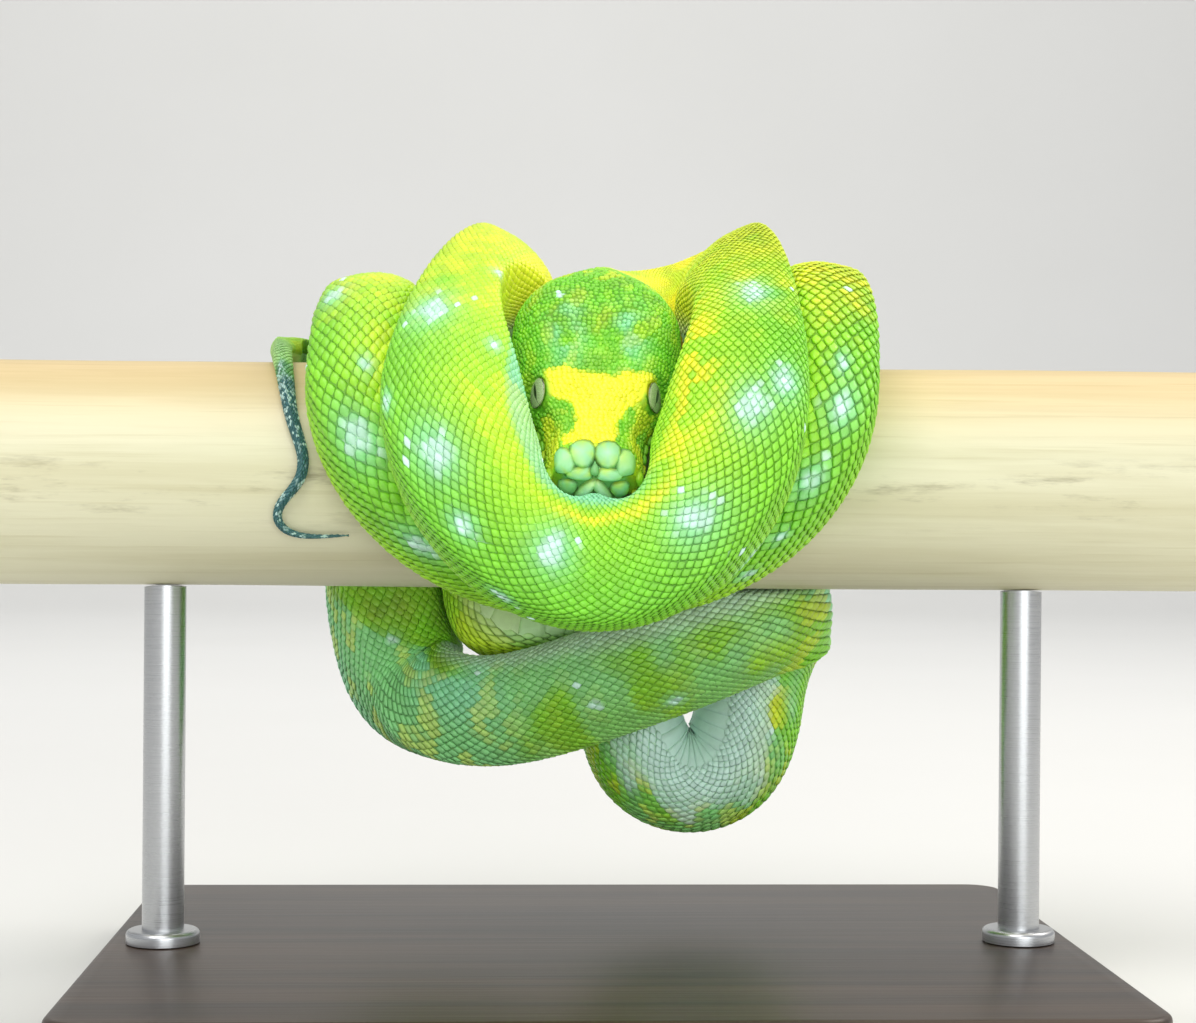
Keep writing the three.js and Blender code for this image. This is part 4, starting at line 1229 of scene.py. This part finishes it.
BELLY_PROFILE = ((-0.62, -0.30), (-0.2, 0.22), (0.35, 0.40), (0.66, 0.36), (0.68, 0.02))
BELLY_COLUMNS = 11
BELLY_EVERY = 3
LENGTHS = (
    # a length of the body and the distance from the snout at which it ends
    ("neck", 118), ("inner_right", 244), ("inner_left", 359), ("back_left", 471), ("back_right", 609),
    ("outer_right", 725), ("outer_left", 836), ("back_drop", 933), ("low_loop", 1045),
    ("low_bend", 1138), ("back_rise", VENT), ("tail_base", LENGTH - 130),
    ("tail_middle", LENGTH - 60), ("tail_tip", SCALES_TO))


def scale_rows():
    """Every row of scales from neck to tail: its place, its spacing and how many go round."""
    rows = []
    far = SCALES_FROM
    while far < SCALES_TO:
        wide, tall = body_size(np.array([far]))
        radius = max(float(wide[0] + tall[0]) / 2, 1.0)
        columns = next(count for count, end in COLUMNS if far < end)
        pitch = SCALE_PITCH * radius / columns
        rows.append((far, pitch, columns))
        far += pitch
    return np.array(rows)


def ring_shares(sides, shoulder):
    """How near each point of a scale is to its rim: 1 on the rim and 0 in the middle."""
    return np.concatenate([np.ones(sides), np.full(sides, shoulder), [0.0]])


def dressed(far, angle, half_long, half_turn, chance):
    """The points of many scales at once, their markings and their patches of the bake map."""
    local = np.vstack([SCALE_OUTLINE, SCALE_OUTLINE * 0.66, [[0.05, 0]]])
    lift = np.concatenate([SCALE_RIM, SCALE_TOP, [SCALE_MIDDLE]])
    rim = ring_shares(len(SCALE_OUTLINE), 0.45)
    at_far = np.clip(far[:, None] + local[None, :, 0] * half_long[:, None], stations[0], stations[-1])
    at_angle = angle[:, None] + local[None, :, 1] * half_turn[:, None]
    out = unit(read_grid(normals, at_far, at_angle))
    size = np.minimum(half_long / 1.3, 1.15)[:, None]
    raised = 0.58 + 0.24 * ramp(1.0, 1.3, stretch_of(far, angle)) + 0.16 * chance
    height = lift[None] * size * raised[:, None] + 0.05
    points = read_grid(skin_grid, at_far, at_angle) + out * height[..., None]
    centre = read_grid(surface, far, angle)
    a, b, white = markings(centre, far, angle, chance)
    soft = flecks_at(at_far, at_angle, clouds(centre, 4.5, 13)[:, None]) * (0.72 + 0.28 * chance[:, None])
    most = soft.max(1)
    white = np.maximum(soft, (np.where(white > most, white, 0) * (most < 0.05))[:, None])
    # Each scale's rim is painted darker: shade in the gaps between scales.
    edge = rim[None] * gap_shade_at(far, angle)[:, None] * (1 - 0.7 * white)
    c = np.stack([white, edge, np.repeat(chance[:, None], len(local), 1)], -1)
    amounts = (np.repeat(a, len(local), 0), np.repeat(b, len(local), 0), c.reshape(-1, 3))
    return points.reshape(-1, 3), amounts, local


def copied_faces(one, starts, count, points_each):
    """Corners and starts of the faces of one shape, for many copies of it."""
    loops = (one[None] + np.arange(count)[:, None] * points_each).ravel()
    return loops, (starts[None] + np.arange(count)[:, None] * len(one)).ravel()


def repeated_faces(count, sides):
    """The faces of many like scales: a band, a fan to the middle, and the underside."""
    j = np.arange(sides)
    after = (j + 1) % sides
    band = np.stack([j, after, sides + after, sides + j], 1)
    fan = np.stack([sides + j, sides + after, np.full(sides, 2 * sides)], 1)
    one = np.concatenate([band.ravel(), fan.ravel(), j[::-1]])
    starts = np.concatenate([j * 4, sides * 4 + j * 3, [sides * 7]])
    return copied_faces(one, starts, count, 2 * sides + 1)


def belly_mesh(far, pitch, half_turn):
    """Points, faces and local places of closed plates across the belly."""
    across = np.linspace(-1, 1, BELLY_COLUMNS)
    edge = np.abs(across)[None] ** 6
    points = []
    for place, height in BELLY_PROFILE:
        at_far = np.clip((far + place * pitch)[:, None] + 0 * across[None], stations[0], stations[-1])
        at_angle = math.pi + across[None] * half_turn + 0 * at_far
        out = unit(read_grid(normals, at_far, at_angle))
        lift = height * (1 - edge) - 0.12 * edge
        points.append(read_grid(skin_grid, at_far, at_angle) + out * lift[..., None])
    rows, columns = len(BELLY_PROFILE), BELLY_COLUMNS
    k = np.arange(columns - 1)
    pairs = [(r * columns, (r + 1) % rows * columns) for r in range(rows)]
    quads = np.vstack([np.stack([a + k, b + k, b + k + 1, a + k + 1], 1) for a, b in pairs])
    ends = np.array([[(rows - 1 - r) * columns for r in range(rows)],
                     [r * columns + columns - 1 for r in range(rows)]])
    one = np.concatenate([quads.ravel(), ends.ravel()])
    starts = np.concatenate([np.arange(len(quads)) * 4, len(quads) * 4 + np.arange(2) * rows])
    loops, all_starts = copied_faces(one, starts, len(far), rows * columns)
    local = np.array([[a, b] for a, _ in BELLY_PROFILE for b in across])
    return np.stack(points, 1).reshape(-1, 3), loops, all_starts, local


def patch_map(loops, far, angle, local, first, last):
    """Each scale as a small patch at its root's place on the skin's own unwrap."""
    which, corner = loops // len(local), loops % len(local)
    u = 0.02 + 0.96 * (far[which] - first) / (last - first) + local[corner, 0] * 0.0015
    v = 0.02 + 0.96 * (angle[which] % (2 * math.pi)) / (2 * math.pi) + local[corner, 1] * 0.0015
    return np.stack([u, v], 1)


scale_chance = np.random.default_rng(7)
all_rows = scale_rows()
first = SCALES_FROM
for name, last in LENGTHS:
    own = np.flatnonzero((all_rows[:, 0] >= first) & (all_rows[:, 0] < last))
    rows = all_rows[own]
    found = []
    for index, (far, pitch, columns) in zip(own, rows):
        pitch_turn = 2 * math.pi / columns
        turn = (np.arange(int(columns)) + 0.5 * (index % 2)) * pitch_turn
        turn = turn[np.abs(signed_turn(turn)) < math.pi - BELLY + pitch_turn * 0.4]
        found.append(np.stack([np.full(len(turn), far), turn, np.full(len(turn), pitch),
                               np.full(len(turn), pitch_turn / 2)]))
    far, turn, half_long, half_turn = np.concatenate(found, 1)
    half_long = half_long * np.clip(np.maximum(stretch_of(far, turn), 0.1) ** -0.35, 0.88, 1.7)
    far = far + scale_chance.normal(0, 0.055, len(far)) * half_long
    turn = turn + scale_chance.normal(0, 0.06, len(far)) * half_turn
    half_long = half_long * (1 + scale_chance.normal(0, 0.05, len(far)))
    half_turn = half_turn * (1.02 + scale_chance.normal(0, 0.05, len(far)))
    chance = scale_chance.random(len(far))
    points, amounts, local = dressed(far, turn, half_long, half_turn, chance)
    loops, starts = repeated_faces(len(far), len(SCALE_OUTLINE))
    bake_map = patch_map(loops, far, turn, local, first, last)
    plate_rows = rows[own % BELLY_EVERY == 0]
    plate_far, plate_angle = plate_rows[:, 0], np.full(len(plate_rows), math.pi)
    half_belly = BELLY + 2 * math.pi / rows[-1, 2] * 0.4
    plate_points, plate_loops, plate_starts, plate_local = belly_mesh(
        plate_far, plate_rows[:, 1] * BELLY_EVERY, half_belly)
    each = len(plate_local)
    plate_map = patch_map(plate_loops, plate_far, plate_angle, plate_local * (1, 6), first, last)
    a, b, white = markings(read_grid(surface, plate_far, plate_angle), plate_far, plate_angle,
                           np.full(len(plate_far), 0.5))
    b[:, 1] = np.maximum(b[:, 1], 0.62 * (1 - b[:, 2]))
    # The front and back edges of the belly plates are painted darker: painted shade in the gaps.
    plate_rim_shade = 0.4 * np.clip(np.abs(plate_local[:, 0] - 0.1) / 0.6, 0, 1) ** 3
    c = np.stack([np.repeat(white, each), np.tile(plate_rim_shade, len(plate_far)),
                  np.full(len(plate_far) * each, 0.5)], -1)
    plate_amounts = (np.repeat(a, each, 0), np.repeat(b, each, 0), c)
    amounts = tuple(np.vstack(pair) for pair in zip(amounts, plate_amounts))
    coat = mesh_piece("scales_" + name, np.vstack([points, plate_points]),
                      np.concatenate([loops, plate_loops + len(points)]),
                      np.concatenate([starts, plate_starts + len(loops)]), amounts,
                      np.vstack([bake_map, plate_map]), scale_material)
    first = last


# ---- The python: head scales ----
# Small pebbled scales over the crown and cheeks, larger plates along both lips, and a few
# big smooth plates on the nose round the nostrils, with painted highlights in their middles and painted
# shade at all rims.
BEAD_STEP = 1.05
BEAD_FROM = 2.6
BEAD_TO = 62.5
BEAD_SIDES = 6
BEAD_RING = 256
HEAD_MAP_END = 64
EYE_CLEAR = 4.1
LIP_CLEAR = 2.9
LIP_END = 37
LIP_FROM = 3.2
LIP_LENGTH = 33
LIP_PLATES = 12
PLATE_SIDES = 12
NOSE_PLATES = (
    # place to the side, over and back from the snout; half length, half width and height
    (2.9, 6.6, 5.6, 4.0, 3.1, 0.58),
    (6.9, 5.0, 3.6, 4.4, 3.3, 0.48),
    (3.4, 4.6, 0.9, 2.8, 3.2, 0.42))


def bead_places():
    """Places of the pebbled scales, in rings that stagger, with a little chance in each."""
    rng = np.random.default_rng(19)
    fars, turns, sizes = [], [], []
    far = BEAD_FROM
    while far < BEAD_TO:
        step = BEAD_STEP * (1 + 0.45 * ramp(48, 62, far))
        ring = read_grid(surface, np.full(BEAD_RING, far), np.arange(BEAD_RING) / BEAD_RING * 2 * math.pi)
        lengths = np.linalg.norm(np.roll(ring, -1, axis=0) - ring, axis=1)
        total = lengths.sum()
        count = int(total / (step * 1.06))
        walked = np.append(0, np.cumsum(lengths))
        wanted = ((np.arange(count) + rng.random()) / count * total + rng.normal(0, 0.15, count)) % total
        turn = np.interp(wanted, walked, np.arange(BEAD_RING + 1) / BEAD_RING * 2 * math.pi)
        fars.append(far + rng.normal(0, 0.14, count))
        turns.append(turn)
        sizes.append(step * (1.08 + rng.normal(0, 0.10, count)))
        far += step * 0.86
    return np.concatenate(fars), np.concatenate(turns), np.concatenate(sizes)


def bare_places(points):
    """Where no bead goes: over the eyes, the lips, the nose plates and the tip of the snout."""
    side, up, face_back = face_place(points)
    bare = (np.abs(up - mouth_height(face_back)) < LIP_CLEAR) & (face_back < LIP_END) & (np.abs(side) > 1)
    bare |= (face_back <= 7.5) & ((np.abs(side) <= 1.5) | (face_back <= 3.2))
    for hand in (1, -1):
        centre, gaze = eye_place(hand)
        rel = points - centre
        level = rel @ gaze
        ring = np.linalg.norm(rel - level[:, None] * gaze, axis=1)
        bare |= (ring < EYE_CLEAR) & (level > 0)
        for across, _, behind, long_half, wide_half, _ in NOSE_PLATES:
            bare |= np.hypot((side - hand * across) / wide_half, (face_back - behind) / long_half) <= 1.0
    return bare


bead_far, bead_turn, bead_size = bead_places()
bead_at = read_grid(surface, bead_far, bead_turn)
keep = ~bare_places(bead_at)
bead_far, bead_turn, bead_size, bead_at = bead_far[keep], bead_turn[keep], bead_size[keep], bead_at[keep]
head_points = surface[dense].reshape(-1, 3)
head_normals = normals[dense].reshape(-1, 3)
head_faces = grid_faces(len(dense), AROUND, 0)
head_tree = BVHTree.FromPolygons(head_points.tolist(), head_faces.tolist())


def lay(place):
    """The nearest place on the head's surface, and the outward direction there."""
    found, _, index, _ = head_tree.find_nearest(Vector(place))
    corners = head_faces[index]
    gaps = np.linalg.norm(head_points[corners] - np.array(found), axis=1) + 1e-3
    out = (head_normals[corners] / gaps[:, None]).sum(0)
    return np.array(found), out / np.linalg.norm(out)


def laid_plates(plates):
    """Plates laid on the head: each has a kind, a middle, two half axes, a squareness and a height."""
    turn = np.arange(PLATE_SIDES) / PLATE_SIDES * 2 * math.pi
    c, s = np.cos(turn), np.sin(turn)
    all_points, all_outs = [], []
    for _, centre, long_half, wide_half, square, dome in plates:
        middle_at, middle_out = lay(centre)
        outline = np.stack([np.sign(c) * np.abs(c) ** square, np.sign(s) * np.abs(s) ** square], 1)
        rows = []
        for scale, lift in ((1.0, -0.40), (0.72, 0.60)):
            for a, b in outline * scale * (1 + 0.07 * np.sin(3 * turn + dome * 40))[:, None]:
                at, out = lay(middle_at + a * long_half + b * wide_half)
                rows.append(at + out * (dome * lift - COAT * 0.2))
        rows.append(middle_at + middle_out * (dome - COAT * 0.2))
        all_points.append(rows)
        all_outs.append(middle_out)
    return np.array(all_points), all_outs, outline


def bead_points(far, turn, size, at, smooth):
    """Pebbled scales as low six-sided domes, laid by the grid of the head."""
    rng = np.random.default_rng(23)
    spin = rng.uniform(0, 6.28, len(far))[:, None]
    corner = np.arange(BEAD_SIDES)[None] / BEAD_SIDES * 2 * math.pi + spin
    wobble = 1 + rng.normal(0, 0.06, (len(far), BEAD_SIDES))
    reach_far = np.linalg.norm(read_grid(surface, far + 0.25, turn) - read_grid(surface, far - 0.25, turn),
                               axis=1) / 0.5
    reach_turn = np.linalg.norm(read_grid(surface, far, turn + 0.02) - read_grid(surface, far, turn - 0.02),
                                axis=1) / 0.04
    rows = []
    for scale, lift in ((0.60, -0.30), (0.42, 0.26)):
        half = wobble * size[:, None] * scale
        at_far = far[:, None] + np.cos(corner) * half / np.maximum(reach_far, 0.5)[:, None]
        at_turn = turn[:, None] + np.sin(corner) * half / np.maximum(reach_turn, 2)[:, None]
        out = unit(read_grid(normals, at_far, at_turn))
        height = lift * (1 - 0.4 * smooth) + 0.06 - COAT
        rows.append(read_grid(surface, at_far, at_turn) + out * height[:, None, None])
    out = unit(read_grid(normals, far, turn))
    rows.append((at + out * (0.44 - 0.2 * smooth - COAT)[:, None])[:, None])
    sixth = np.arange(BEAD_SIDES) * 1.047
    outline = np.stack([np.cos(sixth), np.sin(sixth)], 1)
    return np.concatenate(rows, 1), np.vstack([outline, outline * 0.7, [[0, 0]]])


bead_chance = np.random.default_rng(29).random(len(bead_far))
a, b, white = markings(bead_at, bead_far, bead_turn, bead_chance)
smooth = ramp(0.6, 0.9, a[:, 1])
points, local = bead_points(bead_far, bead_turn, bead_size * (1 + 0.25 * smooth), bead_at, smooth)
each = len(local)
rim = ring_shares(BEAD_SIDES, 0.4)
# The rims of the pebbled scales are painted darker as shade in their gaps, less where they are smooth.
c = np.stack([np.repeat(white[:, None], each, 1), rim[None] * (0.75 - 0.65 * smooth)[:, None],
              np.repeat(bead_chance[:, None], each, 1)], -1)
loops, starts = repeated_faces(len(bead_far), BEAD_SIDES)
bead_map = patch_map(loops, bead_far, bead_turn, local, 0, HEAD_MAP_END)
beads = mesh_piece("scales_crown", points.reshape(-1, 3), loops, starts,
                   (np.repeat(a, each, 0), np.repeat(b, each, 0), c.reshape(-1, 3)), bead_map,
                   scale_material)

plates = []
for hand in (1, -1):
    for jaw in (1, -1):
        for k in range(LIP_PLATES):
            far = LIP_FROM + LIP_LENGTH * (k + 0.5) / LIP_PLATES
            height = mouth_height(far) + jaw * (1.45 if far > 6 else 1.3)
            wide = float(through(HEAD_ROWS, 1, np.array([far]))[0])
            centre = in_face(hand * wide, height, far)
            plates.append(("lip", centre, face_along * 1.42, face_up * 1.22, 0.75, 0.62))
    for across, over, behind, long_half, wide_half, dome in NOSE_PLATES:
        plates.append(("nose", in_face(hand * across, over, behind), face_along * long_half,
                       face_right * wide_half, 0.9, dome))
    turned = face_up * hand
    for kind, (across, over, behind), long_half, wide_half, square, dome in (
            ("nose", (5.8, 1.0, 0.4), face_right * 2.4, face_up * 2.9, 0.85, 0.8),
            ("side", (8.9, 1.6, 3.0), face_along * 2.0, face_up * 2.0, 0.85, 0.8),
            ("lip", (8.7, -1.6, 1.4), face_along * 1.6, face_up * 1.4, 0.85, 0.75),
            ("rostral", (1.95, 0.7, 0.1), face_right * 2.2 - turned * 3.7,
             face_right * 1.3 + turned * 0.78, 0.85, 1.35),
            ("chin", (1.9, -3.9, 0.1), face_right * 1.8, face_up * 1.0, 0.8, 0.6),
            ("chin", (5.2, -3.6, 0.9), face_right * 1.6, face_up * 1.2, 0.8, 0.6)):
        plates.append((kind, in_face(hand * across, over, behind), long_half, wide_half, square, dome))
plates.append(("median", in_face(0, 6.0, 1.6), face_along * 1.9, face_right * 1.1, 0.9, 1.0))
points, plate_out, outline = laid_plates(plates)
local = np.vstack([outline, outline * 0.72, [[0, 0]]])
each = len(local)
plate_at = points[:, -1]
side, up, face_back = face_place(plate_at)
plate_turn = np.arctan2(side, up)
plate_far = np.clip(face_back, 0.1, 60)
plate_chance = np.random.default_rng(31).random(len(plates))
a, b, white = markings(plate_at, plate_far, plate_turn, plate_chance)
a, b = np.repeat(a[:, None], each, 1), np.repeat(b[:, None], each, 1)
shown = 1 - ring_shares(PLATE_SIDES, 0.55)
mottle = ramp(-0.5, 0.9, clouds(points, 2.6, 61))
glint = np.zeros(len(plates))
# The nose plates get painted highlights: paler and whiter in their middles, with painted shade as olive and
# slate round their edges. The rostral is paler still: partly its own colour, partly painted light against
# the shade it lies in.
for k, (kind, *_) in enumerate(plates):
    if kind in ("nose", "rostral"):
        glint[k] = 0.25
        lime, pale_and_highlight, bluer = 0.4, 0.04 + 0.16 * plate_chance[k], 1.0
        if kind == "rostral":
            glint[k] = 0.45
            lime, pale_and_highlight, bluer = 0.9, 0.75, 0.4
        blue = bluer * (0.52 - 0.46 * mottle[k] + 0.1 * shown)
        a[k] = np.stack([lime + 0 * shown, 0.4 * mottle[k] * (1 - shown), blue], 1)
        b[k] = np.stack([0.35 * (1 - shown), pale_and_highlight * (0.2 + 0.8 * shown),
                         0.12 * (1 - shown) * (1 - mottle[k])], 1)
    if kind == "median":
        a[k], b[k] = (0, 0, 0.3), (0.6, 0, 0.25)
# The rims of all face plates are darkened too: painted shade in their gaps.
rim = ring_shares(PLATE_SIDES, 0.35)
c = np.stack([np.maximum(white[:, None], glint[:, None] * shown[None] ** 2),
              np.repeat(rim[None], len(plates), 0), np.repeat(plate_chance[:, None], each, 1)], -1)
for k, (_, _, long_half, wide_half, _, _) in enumerate(plates):
    if np.cross(long_half, wide_half).dot(plate_out[k]) < 0:
        for ring in (slice(0, PLATE_SIDES), slice(PLATE_SIDES, 2 * PLATE_SIDES)):
            points[k, ring] = points[k, ring][::-1].copy()
loops, starts = repeated_faces(len(plates), PLATE_SIDES)
nose_map = patch_map(loops, plate_far, plate_turn, local, 0, HEAD_MAP_END)
nose = mesh_piece("scales_face", points.reshape(-1, 3), loops, starts,
                  (a.reshape(-1, 3), b.reshape(-1, 3), c.reshape(-1, 3)), nose_map, scale_material)


# ---- The python: eyes ----
# Two lens-shaped fronts set in their sockets under a clear scale, with a grey-green iris
# flecked darker and a thin upright slit for a pupil.
LENS_RADIUS = 3.5
LENS_HALF = 0.8
LENS_OUT = 2.5
SLIT_PLACE = 0.06
SLIT_HALF = 0.070
iris, tree, shader = new_material("python_eye", 0.12, Coat_Weight=1.0, Coat_Roughness=0.03)
read = add_node(tree, "ShaderNodeUVMap", uv_map="eye_face").outputs["UV"]
parts = add_node(tree, "ShaderNodeSeparateXYZ", {"Vector": read})
along_eye = add_sum(tree, "SUBTRACT", parts.outputs["X"], 0.5)
across_eye = add_sum(tree, "SUBTRACT", parts.outputs["Y"], 0.5)
long_part = add_sum(tree, "ABSOLUTE", along_eye)
slit_part = add_sum(tree, "ABSOLUTE", add_sum(tree, "SUBTRACT", across_eye, SLIT_PLACE))
slit_half = add_sum(tree, "MULTIPLY", add_range(tree, long_part, 0.06, 0.36, 1.0, 0.0), SLIT_HALF)
slit = add_range(tree, add_sum(tree, "SUBTRACT", slit_part, slit_half), 0.0, 0.015, 1.0, 0.0)
radial = add_sum(tree, "SQRT", add_sum(tree, "ADD", add_sum(tree, "MULTIPLY", along_eye, along_eye),
                                       add_sum(tree, "MULTIPLY", across_eye, across_eye)))
flecks = add_range(tree, add_noise(tree, read, 26.0, 5.0, 0.75), 0.38, 0.66)
tone = add_mix(tree, flecks, paint(158, 176, 126), paint(212, 220, 178))
tone = add_mix(tree, add_range(tree, radial, 0.462, 0.49), tone, paint(60, 60, 40))
put_in(tree, add_mix(tree, slit, tone, paint(16, 16, 14)), shader.inputs["Base Color"])
for hand, name in ((1, "eye_left"), (-1, "eye_right")):
    centre, gaze = eye_place(hand)
    bpy.ops.object.select_all(action="DESELECT")
    bpy.ops.mesh.primitive_uv_sphere_add(
        segments=64, ring_count=40, radius=1.0, location=(centre + gaze * LENS_OUT) / 1000,
        rotation=Vector(gaze).to_track_quat("Z", "Y").to_euler())
    ball = bpy.context.object
    ball.name = name + "_ball"
    ball.scale = (LENS_RADIUS / 1000, LENS_RADIUS / 1000, LENS_HALF / 1000)
    place_mesh(ball)
    bpy.ops.object.shade_smooth()
    ahead_way = unit(face_along - gaze * face_along.dot(gaze))
    side_way = unit(face_up - gaze * face_up.dot(gaze))
    co = np.zeros(len(ball.data.vertices) * 3, np.float32)
    ball.data.vertices.foreach_get("co", co)
    rel = (co.reshape(-1, 3) - centre / 1000) * 1000
    flat = np.stack([rel @ ahead_way, rel @ side_way], 1) / LENS_RADIUS / 2.05
    corners = np.zeros(len(ball.data.loops), np.int32)
    ball.data.loops.foreach_get("vertex_index", corners)
    layer = ball.data.uv_layers.new(name="eye_face")
    layer.uv.foreach_set("vector", (0.5 + flat[corners]).astype(np.float32).ravel())
    ball.data.materials.append(iris)
    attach(ball, "root")
    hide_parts(name)
